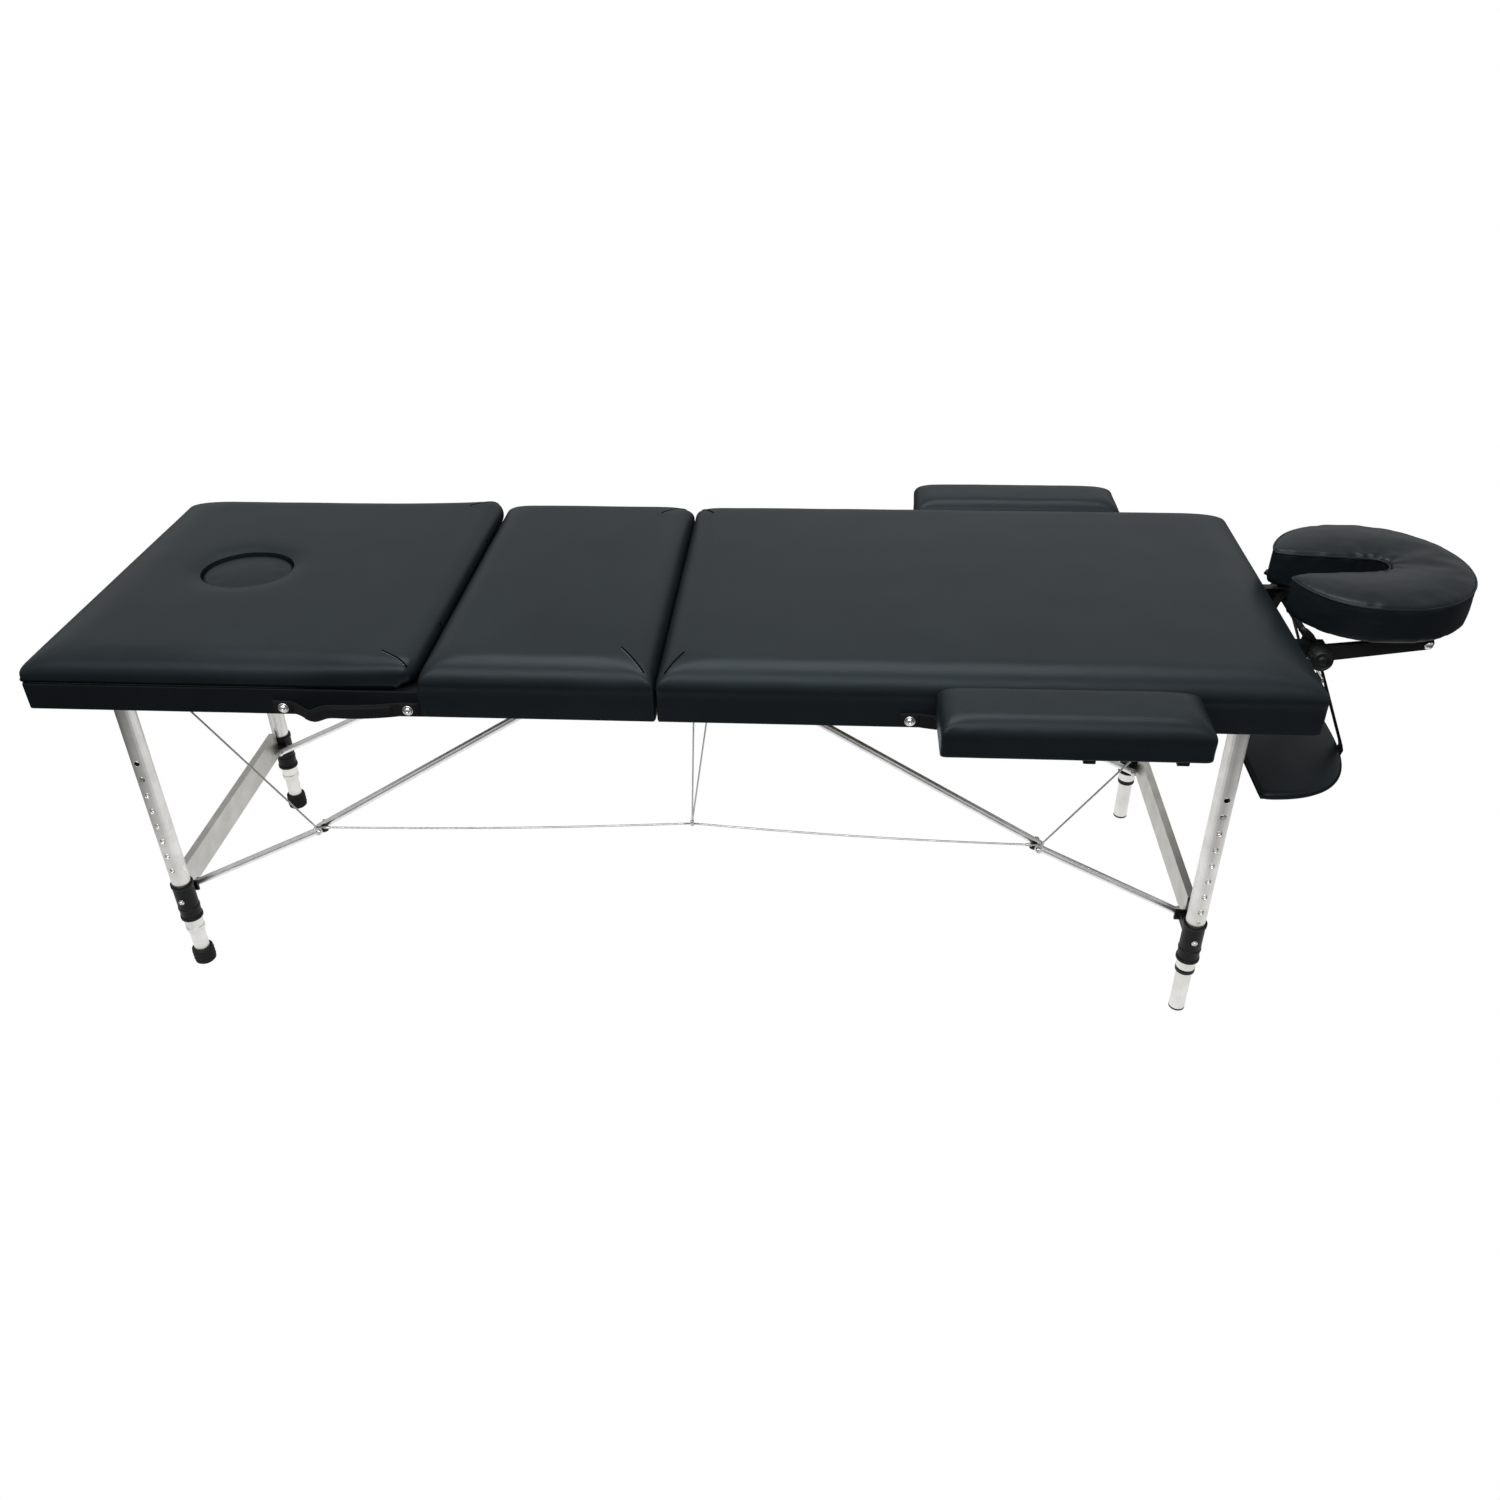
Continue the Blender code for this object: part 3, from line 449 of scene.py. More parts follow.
def rolled(P, x0, x1, y0, y1, z1, rs, rh, Rb, grow=0.85, rb=0.0, z0=None, ends=(True, True), wide=(1.0, 1.0)):
    """Rounds a box the way a wrapped foam pad rounds: a roll (rs wide, rh high)
    round the top, corners that are tight at the bottom and open out upward.
    `wide` makes the rolls at the low and high x ends that many times wider."""
    r0 = rs(x0) if callable(rs) else rs
    P = P.copy()
    fx0, fx1 = x0, x1
    x0, x1 = fx0 + r0 * (wide[0] - 1), fx1 - r0 * (wide[1] - 1)
    for p in P:
        if p[0] - fx0 < r0 * wide[0]:
            p[0] = x0 + (p[0] - fx0) / wide[0]
        if fx1 - p[0] < r0 * wide[1] and wide[1] != 1.0:
            p[0] = x1 - (fx1 - p[0]) / wide[1]
    Q = P.copy()
    cx, cy = (x0 + x1) / 2, (y0 + y1) / 2
    hx, hy = (x1 - x0) / 2, (y1 - y0) / 2
    W = x1 - x0
    for n in range(len(P)):
        x, y, z = P[n]
        ws = rs(x) if callable(rs) else rs
        wh = rh(x) if callable(rh) else rh
        wb = rb(x) if callable(rb) else rb
        cand = [y - y0, y1 - y]
        if ends[0]:
            cand.append(x - x0)
        if ends[1]:
            cand.append(x1 - x)
        s = max(min(cand), 0.0)
        s2, h2 = quarter(s, z1 - z, ws, wh)
        z = z1 - h2
        if wb > 0 and z0 is not None and P[n][2] - z0 < wb:
            s2, hb = quarter(s, P[n][2] - z0, wb, wb)
            z = z0 + hb
        if ends[0] and ends[1]:
            x = cx + (x - cx) * (hx - s2) / (hx - s) if hx > s else x
        elif ends[0]:
            x = x1 - (x1 - x) * (W - s2) / (W - s)
        y = cy + (y - cy) * (hy - s2) / (hy - s) if hy > s else y
        R = Rb + grow * min(s2, ws) - max(s2 - ws, 0.0)
        if R > 0:
            sx, ex = 0.0, -1.0
            if ends[0] and x < cx:
                sx, ex = -1.0, (x0 + s2 + R) - x
            elif ends[1] and x > cx:
                sx, ex = 1.0, x - (x1 - s2 - R)
            sy, ey = (-1.0, (y0 + s2 + R) - y) if y < cy else (1.0, y - (y1 - s2 - R))
            if ex > 0 and ey > 0:
                m, L = max(ex, ey), math.hypot(ex, ey)
                x += sx * (ex * m / L - ex)
                y += sy * (ey * m / L - ey)
        if x - x0 < r0:
            x = fx0 + (x - x0) * wide[0]
        if x1 - x < r0 and wide[1] != 1.0:
            x = fx1 - (x1 - x) * wide[1]
        Q[n] = (x, y, z)
    return Q


def smoothstep(t):
    t = np.clip(t, 0, 1)
    return t * t * (3 - 2 * t)


def lathe(name, profile, origin, axis, segs=28):
    """A closed turned solid: profile is (radius, height) pairs from one axis
    point to the other, heights along axis from origin."""
    verts, faces = [], []
    rows = []
    for r, h in profile:
        if r < 1e-6:
            rows.append([len(verts)])
            verts.append((0, 0, h))
        else:
            rows.append(list(range(len(verts), len(verts) + segs)))
            for i in range(segs):
                a = 2 * math.pi * i / segs
                verts.append((r * math.cos(a), r * math.sin(a), h))
    for a, b in zip(rows[:-1], rows[1:]):
        for i in range(segs):
            j = (i + 1) % segs
            if len(a) == 1 and len(b) == 1:
                continue
            if len(a) == 1:
                faces.append((a[0], b[i], b[j]))
            elif len(b) == 1:
                faces.append((a[i], a[j], b[0]))
            else:
                faces.append((a[i], a[j], b[j], b[i]))
    q = Vector((0, 0, 1)).rotation_difference(Vector(axis))
    o = Vector(origin)
    return mesh_object(name, [q @ Vector(v) + o for v in verts], faces)


def tube(name, pts, r, segs=8, closed=False, flat=None):
    """A round or flattened tube swept along points (mm)."""
    pts = [Vector(p) for p in pts]
    n = len(pts)
    verts, faces = [], []
    up = Vector((0, 0, 1))
    prev = None
    for i, p in enumerate(pts):
        if closed:
            t = (pts[(i + 1) % n] - pts[i - 1]).normalized()
        else:
            t = (pts[min(i + 1, n - 1)] - pts[max(i - 1, 0)]).normalized()
        if prev is None:
            ref = up if abs(t.z) < 0.9 else Vector((0, 1, 0))
            u = t.cross(ref).normalized()
        else:
            u = (prev - t * prev.dot(t)).normalized()
        prev = u
        w = t.cross(u).normalized()
        for k in range(segs):
            a = 2 * math.pi * k / segs
            ra, rb = (r, r) if flat is None else flat
            verts.append(p + u * (ra * math.cos(a)) + w * (rb * math.sin(a)))
    rings = n if closed else n - 1
    for i in range(rings):
        for k in range(segs):
            a, b = i * segs + k, i * segs + (k + 1) % segs
            c, d = ((i + 1) % n) * segs + (k + 1) % segs, ((i + 1) % n) * segs + k
            faces.append((a, b, c, d))
    if not closed:
        faces.append(tuple(range(segs))[::-1])
        faces.append(tuple(range((n - 1) * segs, n * segs)))
    return mesh_object(name, verts, faces)


def ribbon(name, pts, width_dir, width, thick, bulge=0.0):
    """A flat strap along points: width along width_dir (a vector or one per
    point), with rounded selvedges."""
    pts = [Vector(p) for p in pts]
    n = len(pts)
    prof = []
    m = 10
    for k in range(m + 1):
        s = -1 + 2 * k / m
        prof.append((s * width / 2, thick / 2 * (1 - abs(s) ** 6) ** 0.5 + bulge * (1 - s * s)))
    for k in range(m - 1, 0, -1):
        s = -1 + 2 * k / m
        prof.append((s * width / 2, -thick / 2 * (1 - abs(s) ** 6) ** 0.5))
    M = len(prof)
    verts, faces = [], []
    for i, p in enumerate(pts):
        t = (pts[min(i + 1, n - 1)] - pts[max(i - 1, 0)]).normalized()
        wd = Vector(width_dir[i]) if isinstance(width_dir, list) else Vector(width_dir)
        wd = (wd - t * wd.dot(t)).normalized()
        nn = t.cross(wd).normalized()
        for a, b in prof:
            verts.append(p + wd * a + nn * b)
    for i in range(n - 1):
        for k in range(M):
            a, b = i * M + k, i * M + (k + 1) % M
            faces.append((a, b, b + M, a + M))
    faces.append(tuple(range(M))[::-1])
    faces.append(tuple(range((n - 1) * M, n * M)))
    return mesh_object(name, verts, faces)


def bvh(ob):
    me = ob.data
    d = Vector((FOLD_X, 0, 0))
    return BVHTree.FromPolygons([v.co - d for v in me.vertices], [tuple(p.vertices) for p in me.polygons])


def on_top(tree, x, y, lift=0.0):
    hit = tree.ray_cast(Vector((x, y, 900)) * MM, Vector((0, 0, -1)))
    if hit[0] is None:
        return None
    return hit[0] / MM + hit[1] * lift


def seam_line(name, tree, a, b, body, n=16, side_down=None, lift=0.15, r=0.55):
    """A sewn line on a pad's surface, drawn as a near-black tube: painted shade of the seam's crease."""
    pts = []
    for i in range(n + 1):
        t = i / n
        p = on_top(tree, a[0] + (b[0] - a[0]) * t, a[1] + (b[1] - a[1]) * t, lift)
        if p is not None:
            pts.append(p)
    if side_down:
        x, y, zs = side_down
        for z in zs:
            h = tree.find_nearest(Vector((x, y, z)) * MM)
            pts.append(h[0] / MM + h[1] * lift)
    ob = tube(name, pts, r, segs=6)
    return link(ob, "dark", body), pts


def stitches(name, pts, body, pitch=4.5, length=2.6, r=0.5, off=1.6, mat="thread"):
    """Short thread pieces along a line, as one object; their light colour is partly painted highlight."""
    P = [Vector(p) for p in pts]
    L = [0.0]
    for a, b in zip(P[:-1], P[1:]):
        L.append(L[-1] + (b - a).length)
    verts, faces = [], []
    s = pitch / 2
    while s + length < L[-1]:
        ends = []
        for q in (s, s + length / 2, s + length):
            i = max(k for k in range(len(L)) if L[k] <= q)
            i = min(i, len(P) - 2)
            t = (q - L[i]) / max(L[i + 1] - L[i], 1e-9)
            ends.append(P[i].lerp(P[i + 1], t))
        d = (ends[2] - ends[0]).normalized()
        u = d.cross(Vector((0, 0.3, 1))).normalized()
        w = d.cross(u)
        base = len(verts)
        for e, rr in zip(ends, (0.35, 1.0, 0.35)):
            for k in range(6):
                a = 2 * math.pi * k / 6
                verts.append(e + u * (off + r * rr * math.cos(a)) + w * (r * rr * math.sin(a)))
        for i in range(2):
            for k in range(6):
                a, b = base + i * 6 + k, base + i * 6 + (k + 1) % 6
                faces.append((a, b, b + 6, a + 6))
        faces.append(tuple(range(base, base + 6))[::-1])
        faces.append(tuple(range(base + 12, base + 18)))
        s += pitch
    return link(mesh_object(name, verts, faces), mat, body)


def puff(ob, voxel, pressure, frames, cap, pin_below=None):
    """Inflates a closed form with cloth: remesh, cloth under pressure, cap the
    travel, apply."""
    m = ob.modifiers.new("remesh", "REMESH")
    m.mode = "VOXEL"
    m.voxel_size = voxel * MM
    apply_modifiers(ob)
    rest = np.array([v.co for v in ob.data.vertices])
    vg = ob.vertex_groups.new(name="hold")
    if pin_below is not None:
        for v in ob.data.vertices:
            if v.co.z < pin_below * MM:
                vg.add([v.index], 1.0, "REPLACE")
    c = ob.modifiers.new("cloth", "CLOTH")
    st = c.settings
    st.quality = 5
    st.mass = 0.3
    st.tension_stiffness = 20
    st.compression_stiffness = 20
    st.shear_stiffness = 8
    st.bending_stiffness = 30.0
    st.use_pressure = True
    st.uniform_pressure_force = pressure
    st.effector_weights.gravity = 0.0
    if pin_below is not None:
        st.vertex_group_mass = "hold"
    c.collision_settings.use_collision = False
    sc = bpy.context.scene
    sc.frame_start, sc.frame_end = 1, frames
    c.point_cache.frame_start, c.point_cache.frame_end = 1, frames
    for f in range(1, frames + 1):
        sc.frame_set(f)
    deps = bpy.context.evaluated_depsgraph_get()
    ev = ob.evaluated_get(deps)
    pos = np.array([v.co for v in ev.data.vertices])
    ob.modifiers.clear()
    sc.frame_set(1)
    d = pos - rest
    ln = np.linalg.norm(d, axis=1, keepdims=True)
    lim = cap * MM
    d = d * np.minimum(1.0, lim / np.maximum(ln, 1e-9))
    out = rest + d
    for v, p in zip(ob.data.vertices, out):
        v.co = p
    ob.vertex_groups.clear()
    ob.data.update()
    return ob


def smooth_mesh(ob, it=4, f=0.5):
    m = ob.modifiers.new("smooth", "SMOOTH")
    m.iterations = it
    m.factor = f
    return apply_modifiers(ob)


# ===================================================== materials on CAD nodes
def paint(n, mat):
    o = NODES[n]
    o.data.materials.clear()
    o.data.materials.append(MAT[mat])


for n in NODES:
    if n.endswith("_outer_leg") or n.endswith("_inner_leg"):
        paint(n, "alu")
    elif n.endswith("_crossbar"):
        paint(n, "alu_x")
    elif n.endswith("_brace"):
        paint(n, "bright")
    elif n.endswith("_collar") or n == "headrest_knob":
        paint(n, "black_plastic")
    elif n.endswith("_foot_cap"):
        paint(n, "rubber")
    elif n.startswith("headrest_") or n.startswith("armrest_"):
        paint(n, "black_steel")
    elif n.startswith("sling_strap"):
        paint(n, "web_y")
    elif n.endswith("_handle"):
        paint(n, "web")
    elif n.endswith("_pad") or n in ("face_hole_plug", "sling_shelf"):
        paint(n, "vinyl")
    elif n in ("left_frame", "right_frame"):
        paint(n, "frame")
    elif n == "backrest_board":
        paint(n, "wood")
    else:
        paint(n, "steel")

# ====================================================== positions from the CAD
lo, hi = cbox("left_frame")
F_BOT = lo.z / MM
lo, hi = cbox("mid_pad")
TOP = hi.z / MM
SEAM = lo.x / MM
HW = hi.y / MM
PAD_BOT = lo.z / MM
lo, hi = cbox("right_pad")
X1 = hi.x / MM
lo, hi = cbox("backrest_pad")
X0 = lo.x / MM
BX1 = hi.x / MM


def grain_noise(P, amp, size, seed=0.0):
    return np.array([amp * noise.noise(Vector((p[0] / size + seed, p[1] / size, p[2] / size))) for p in P])


# ------------------------------------------------------------ pad covers
def wrapped_pad(name, x0, x1, body, replaces, z_low, crown=3.0, rs=44.0, rh=35.0, seed=0.0, wide=(1.0, 1.0),
                open_left=False):
    """A pad cover that comes down over the frame's sides: crowned top, rolled
    edges, and a thin skin, open at the bottom."""
    zs = [z_low, z_low + 1.5, z_low + 12, z_low + 26, z_low + 38, z_low + 44, z_low + 49]
    zs = [z for z in zs if z < TOP - rh - 2] + [TOP - rh + i * rh / 7 for i in range(8)]
    xs = axis_steps(x0, x1, 54 if max(wide) < 1.1 else 92, 13, max(10, int((x1 - x0) / 16)), 1.45)
    ys = axis_steps(-HW, HW, 58, 13, 32, 1.45)
    P, faces = box_shell(xs, ys, zs, bottom=False)
    Q = rolled(P, x0, x1, -HW, HW, TOP, rs, rh, 7.0, wide=wide)
    u = (Q[:, 0] - (x0 + x1) / 2) / ((x1 - x0) / 2)
    v = Q[:, 1] / HW
    w = np.clip((Q[:, 2] - (TOP - rh)) / rh, 0, 1)
    cr = (crown + 1.0) * (1 - np.abs(u) ** 3) * (1 - np.abs(v) ** 3) - 1.8
    Q[:, 2] += w * cr + w * grain_noise(Q, 0.6, 80.0, seed)
    # sides: foam stands a little proud of the frame, the cover dips between
    hgt = Q[:, 2]
    side = smoothstep((np.abs(v) - 0.975) * 60 + 0.5)
    belly = 1.0 * np.exp(-((hgt - (TOP - 34)) / 9.0) ** 2) - 0.7 * np.exp(-((hgt - PAD_BOT + 2) / 5.0) ** 2)
    belly += grain_noise(Q, 0.4, 40.0, seed + 3.0)
    Q[:, 1] += np.sign(v) * side * belly * (np.abs(v) > 0.9)
    if open_left:
        faces = [f for f in faces
                 if not (max(Q[i][0] for i in f) < x0 + 9 and max(abs(Q[i][1]) for i in f) < HW - 12
                         and sum(Q[i][2] for i in f) / len(f) < PAD_BOT - 1)]
        used = sorted({i for f in faces for i in f})
        new = {o: k for k, o in enumerate(used)}
        Q, faces = Q[used], [tuple(new[i] for i in f) for f in faces]
    ob = mesh_object(name, Q, faces)
    sol = ob.modifiers.new("skin", "SOLIDIFY")
    sol.thickness = 0.0011
    sol.offset = -1.0
    apply_modifiers(ob)
    subdivide(ob, 1)
    link(ob, "vinyl", body)
    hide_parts(*replaces)
    return ob


mid = wrapped_pad("mid_pad_cover", SEAM, -0.9, "left_half", ["mid_pad"], F_BOT + 0.4, seed=1.0, open_left=True)
right = wrapped_pad("right_pad_cover", 0.9, X1 + 0.6, "right_half", ["right_pad"], F_BOT + 0.4, seed=2.0, wide=(1.0, 1.75))

# ------------------------------------------------------------ backrest pad
FX, FRX, FRY = -695.0, 73.5, 65.5
lo, hi = cbox("backrest_board")
BB = lo.z / MM


def backrest_cover():
    x0, x1 = X0, BX1
    ax, az, rn = BX1 - 22.5, TOP - 22.5, 22.3
    zs = [BB, BB + 2.0, BB + 5, BB + 8] + [TOP - 34 + i * 34 / 7 for i in range(8)]
    zs = sorted(z for z in zs if z < TOP - 33.9 or z > TOP - 34.1)
    xs = axis_steps(x0, x1, 92, 14, 42, 1.45)
    ys = axis_steps(-HW, HW, 58, 13, 44, 1.45)
    P, faces = box_shell(xs, ys, zs)

    def near_nose(x):
        t = min(max((x - (ax - 190)) / 190, 0.0), 1.0)
        return t * t * (3 - 2 * t)

    Q = rolled(P, x0, x1, -HW, HW, TOP, lambda x: 44 - 14 * near_nose(x), lambda x: 34 - 13 * near_nose(x), 7.0,
               rb=lambda x: 3 + 9 * near_nose(x), z0=BB, ends=(True, False), wide=(1.9, 1.0))
    # hinge end: half round about the hinge axis, its ends domed
    for i in range(len(Q)):
        if P[i][0] > ax:
            a = (P[i][0] - ax) / (x1 - ax)
            b = (P[i][2] - BB) / (TOP - BB) * 2 - 1
            m = max(abs(a), abs(b))
            L = math.hypot(a, b)
            if L > 0:
                a, b = a / L, b / L
            s2, h2 = quarter(HW - abs(P[i][1]), (1 - m) * rn, 30.0, 21.0)
            m = 1 - h2 / rn
            Q[i] = (ax + a * m * rn, math.copysign(HW - s2, P[i][1]), az + b * m * rn)
    u = (Q[:, 0] - (x0 + x1) / 2) / ((x1 - x0) / 2)
    v = Q[:, 1] / HW
    w = np.clip((Q[:, 2] - (TOP - 34)) / 34, 0, 1)
    far_from_nose = smoothstep((ax - Q[:, 0]) / 60.0)
    cr = 4.0 * (1 - np.abs(u) ** 3) * (1 - np.abs(v) ** 3) - 1.6
    Q[:, 2] += w * (cr * far_from_nose + grain_noise(Q, 0.6, 80.0, 5.0))
    # dimple toward the face hole
    e = np.sqrt(((Q[:, 0] - FX) / FRX) ** 2 + (Q[:, 1] / FRY) ** 2)
    top = Q[:, 2] > TOP - 12
    Q[:, 2] -= np.where(top, 7.5 * np.exp(-np.maximum(e - 1, 0) / 0.17), 0)
    ob = mesh_object("backrest_cover", Q, faces)
    subdivide(ob, 1)
    # the hole itself
    bpy.ops.mesh.primitive_cylinder_add(vertices=72, radius=1.0, depth=0.2, location=(FX * MM, 0, TOP * MM))
    cut = bpy.context.object
    cut.scale = (FRX * MM, FRY * MM, 1)
    cut.name = "cutter_face_hole"
    cut.hide_render = True
    cut.display_type = "WIRE"
    bo = ob.modifiers.new("hole", "BOOLEAN")
    bo.operation = "DIFFERENCE"
    bo.solver = "EXACT"
    bo.object = cut
    apply_modifiers(ob)
    bpy.data.objects.remove(cut, do_unlink=True)
    # pockets round the hinge lugs
    for k, y in enumerate((-150.0, 150.0)):
        bpy.ops.mesh.primitive_cube_add(size=1.0, location=((ax + 15) * MM, y * MM, (BB + 10.5) * MM))
        c2 = bpy.context.object
        c2.scale = (0.052, 0.007, 0.041)
        bo = ob.modifiers.new("lug", "BOOLEAN")
        bo.operation = "DIFFERENCE"
        bo.solver = "EXACT"
        bo.object = c2
        apply_modifiers(ob)
        bpy.data.objects.remove(c2, do_unlink=True)
    ob.data.shade_smooth()
    ob.data.set_sharp_from_angle(angle=math.radians(38))
    link(ob, "vinyl", "backrest")
    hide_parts("backrest_pad", "backrest_board")
    return ob


back = backrest_cover()


def plug():
    n, rings = 72, 15
    verts, faces = [], []
    rx, ry = FRX - 1.6, FRY - 1.6
    prof = []   # (scale of radius, z)
    z_edge, z_low = TOP - 8.5, BB + 9
    prof += [(0.96, z_low), (0.985, z_low + 3), (1.0, z_low + 12), (1.0, z_edge - 7)]
    for i in range(1, 7):
        a = math.radians(90 * i / 6)
        prof.append((1.0 - 0.10 * (1 - math.cos(a)), z_edge - 7 + 7 * math.sin(a)))
    for i in range(1, 9):
        t = i / 8
        prof.append((0.90 * (1 - t), z_edge + 5.0 * (1 - (1 - t) ** 2)))
    verts.append((FX, 0, z_low))
    for s, z in prof[:-1]:
        for k in range(n):
            a = 2 * math.pi * k / n
            puck = 0.45 * math.sin(9 * a + 1.3) * (0.6 < s < 0.97 and z > z_edge)
            verts.append((FX + rx * s * math.cos(a), ry * s * math.sin(a), z + puck))
    verts.append((FX, 0, prof[-1][1]))
    top = len(verts) - 1
    R = len(prof) - 1
    for k in range(n):
        j = (k + 1) % n
        faces.append((0, 1 + j, 1 + k))
        for r in range(R - 1):
            a = 1 + r * n
            faces.append((a + k, a + j, a + n + j, a + n + k))
        a = 1 + (R - 1) * n
        faces.append((a + k, a + j, top))
    ob = mesh_object("face_plug_cover", verts, faces)
    subdivide(ob, 1)
    link(ob, "vinyl", "face_plug")
    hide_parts("face_hole_plug")
    return ob


plug_ob = plug()

# --------------------------------------------- wrapped sides under the backrest
def frame_skin():
    x0, x1 = X0 + 0.2, SEAM - 1.5
    z0, z1 = F_BOT + 0.3, BB - 0.7
    zs = [z0, z0 + 2, z0 + 10, z0 + 20, z0 + 30, z1 - 4, z1 - 2, z1]
    xs = axis_steps(x0, x1, 30, 9, 30, 1.6)
    ys = axis_steps(-HW + 0.2, HW - 0.2, 30, 9, 20, 1.6)
    P, faces = box_shell(xs, ys, zs, bottom=False)
    P = soft_box(P, x0, x1, -HW + 0.2, HW - 0.2, z0 - 60, z1, 7, 3, 2.5)
    # keep the side walls and a narrow lip: the middle of the top is open
    v = P[:, 1] / HW
    belly = 0.35 + grain_noise(P, 0.35, 60.0, 8.0)
    P[:, 1] += np.sign(v) * belly * (np.abs(v) > 0.99)
    keep = []
    for f in faces:
        c = P[list(f)].mean(0)
        on_top_face = c[2] > z1 - 0.6
        if on_top_face and x0 + 24 < c[0] and abs(c[1]) < HW - 22:
            continue
        if c[0] > x1 - 1.0 and not on_top_face:
            continue
        keep.append(f)
    used = sorted({i for f in keep for i in f})
    idx = {o: i for i, o in enumerate(used)}
    ob = mesh_object("backrest_frame_skin", P[used], [tuple(idx[i] for i in f) for f in keep])
    sol = ob.modifiers.new("skin", "SOLIDIFY")
    sol.thickness = 0.0007
    sol.offset = -1.0
    apply_modifiers(ob)
    subdivide(ob, 1)
    # the side skin takes the darker copy of the vinyl as painted shade
    link(ob, "vinyl_painted_shade", "left_half")
    return ob


skin = frame_skin()

# ------------------------------------------------------------ corner darts
t_mid, t_right, t_back = bvh(mid), bvh(right), bvh(back)
for nm, tree, a, b, body in (
        ("dart_back", t_back, (-394, -262), (-351, -291), "backrest"),
        ("dart_mid", t_mid, (-52, -240), (-15, -287), "left_half"),
        ("dart_right", t_right, (38, -247), (14, -288), "right_half")):
    for end, sy in (("near", 1.0), ("far", -1.0)):
        # each dart's seam line is a near-black tube: painted shade of its crease
        ob, pts = seam_line(nm + "_" + end, tree, (a[0], a[1] * sy), (b[0], b[1] * sy), body, n=18, r=1.7, lift=-0.55)
        stitches(nm + "_" + end + "_stitches", pts, body, length=3.0, r=0.7, off=2.3)


def hem_stitches(name, x0, x1, z, body, pitch=6.0):
    pts = [(x0 + (x1 - x0) * i / 40, -HW - 0.9, z) for i in range(41)]
    return stitches(name, pts, body, pitch=pitch, length=3.2, r=0.35, off=0.0)


# piping where the backrest pad meets its board, along both sides and the end; its near-black colour is painted shade
# of the joint
def piping_path(x_in, x_out, hw, R, z):
    pts = []
    n = 14
    for i in range(n + 1):
        pts.append((x_in + (x_out + R - x_in) * i / n, -hw, z))
    for i in range(1, 10):
        a = math.radians(270 - 90 * i / 10)
        pts.append((x_out + R + R * math.cos(a), -hw + R + R * math.sin(a), z))
    for i in range(n + 1):
        pts.append((x_out, -hw + R + (2 * hw - 2 * R) * i / n, z))
    for i in range(1, 10):
        a = math.radians(180 - 90 * i / 10)
        pts.append((x_out + R + R * math.cos(a), hw - R + R * math.sin(a), z))
    for i in range(n + 1):
        pts.append((x_out + R + (x_in - x_out - R) * i / n, hw, z))
    return pts


ob = tube("backrest_piping", piping_path(BX1 - 34, X0 + 0.4, HW - 0.6, 7.5, BB + 4.4), 1.9, segs=8)
link(ob, "dark", "backrest")


# ------------------------------------------------------------ armrests
def armrest(side, s):
    (lo, hi) = cbox("armrest_" + side + "_pad")
    (l2, h2) = cbox("armrest_" + side + "_frame")
    x0, x1 = lo.x / MM, hi.x / MM
    ya, yb = sorted((lo.y / MM, hi.y / MM))
    z0, z1 = 577.5, hi.z / MM + 6.0
    zs = [z0, z0 + 2, z0 + 5, z0 + 9, z0 + 16] + [z1 - 27 + i * 27 / 7 for i in range(8)]
    xs = axis_steps(x0, x1, 36, 11, 20, 1.45)
    ys = axis_steps(ya, yb, 34, 11, 6, 1.45)
    P, faces = box_shell(xs, ys, zs)
    P = rolled(P, x0, x1, ya, yb, z1, 24.0, 24.0, 5.0, grow=0.8, rb=3.0, z0=z0, wide=(1.0, 1.5))
    yc, hy = (ya + yb) / 2, (yb - ya) / 2
    u = (P[:, 0] - (x0 + x1) / 2) / ((x1 - x0) / 2)
    v = (P[:, 1] - yc) / hy
    w = smoothstep((P[:, 2] - (z1 - 12)) / 12)
    P[:, 2] += w * (3.0 * (1 - np.abs(u) ** 6) * (1 - np.abs(v) ** 3) - 0.8 + grain_noise(P, 0.5, 40.0, 11.0 + s))
    belly = 0.6 * np.exp(-((P[:, 2] - (z1 - 24)) / 9.0) ** 2) - 0.6 * np.exp(-((P[:, 2] - 590.0) / 3.0) ** 2)
    belly += grain_noise(P, 0.35, 26.0, 14.0 + s)
    P[:, 1] += np.where(np.abs(v) > 0.93, np.sign(v) * belly, 0)
    P[:, 0] += np.where(np.abs(u) > 0.97, np.sign(u) * belly, 0)
    ob = mesh_object("armrest_" + side + "_cover", P, faces)
    subdivide(ob, 1)
    link(ob, "vinyl", "armrest_" + side)
    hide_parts("armrest_" + side + "_pad")
    return ob


arm_near = armrest("near", -1)
arm_far = armrest("far", 1)

# ------------------------------------------------------------ headrest cushion
lo, hi = cbox("headrest_cushion")
HX0, HX1 = lo.x / MM, hi.x / MM
HZ0, HZ1 = lo.z / MM, hi.z / MM
HCX, HRX, HRY = 1063.0, 143.0, 149.0


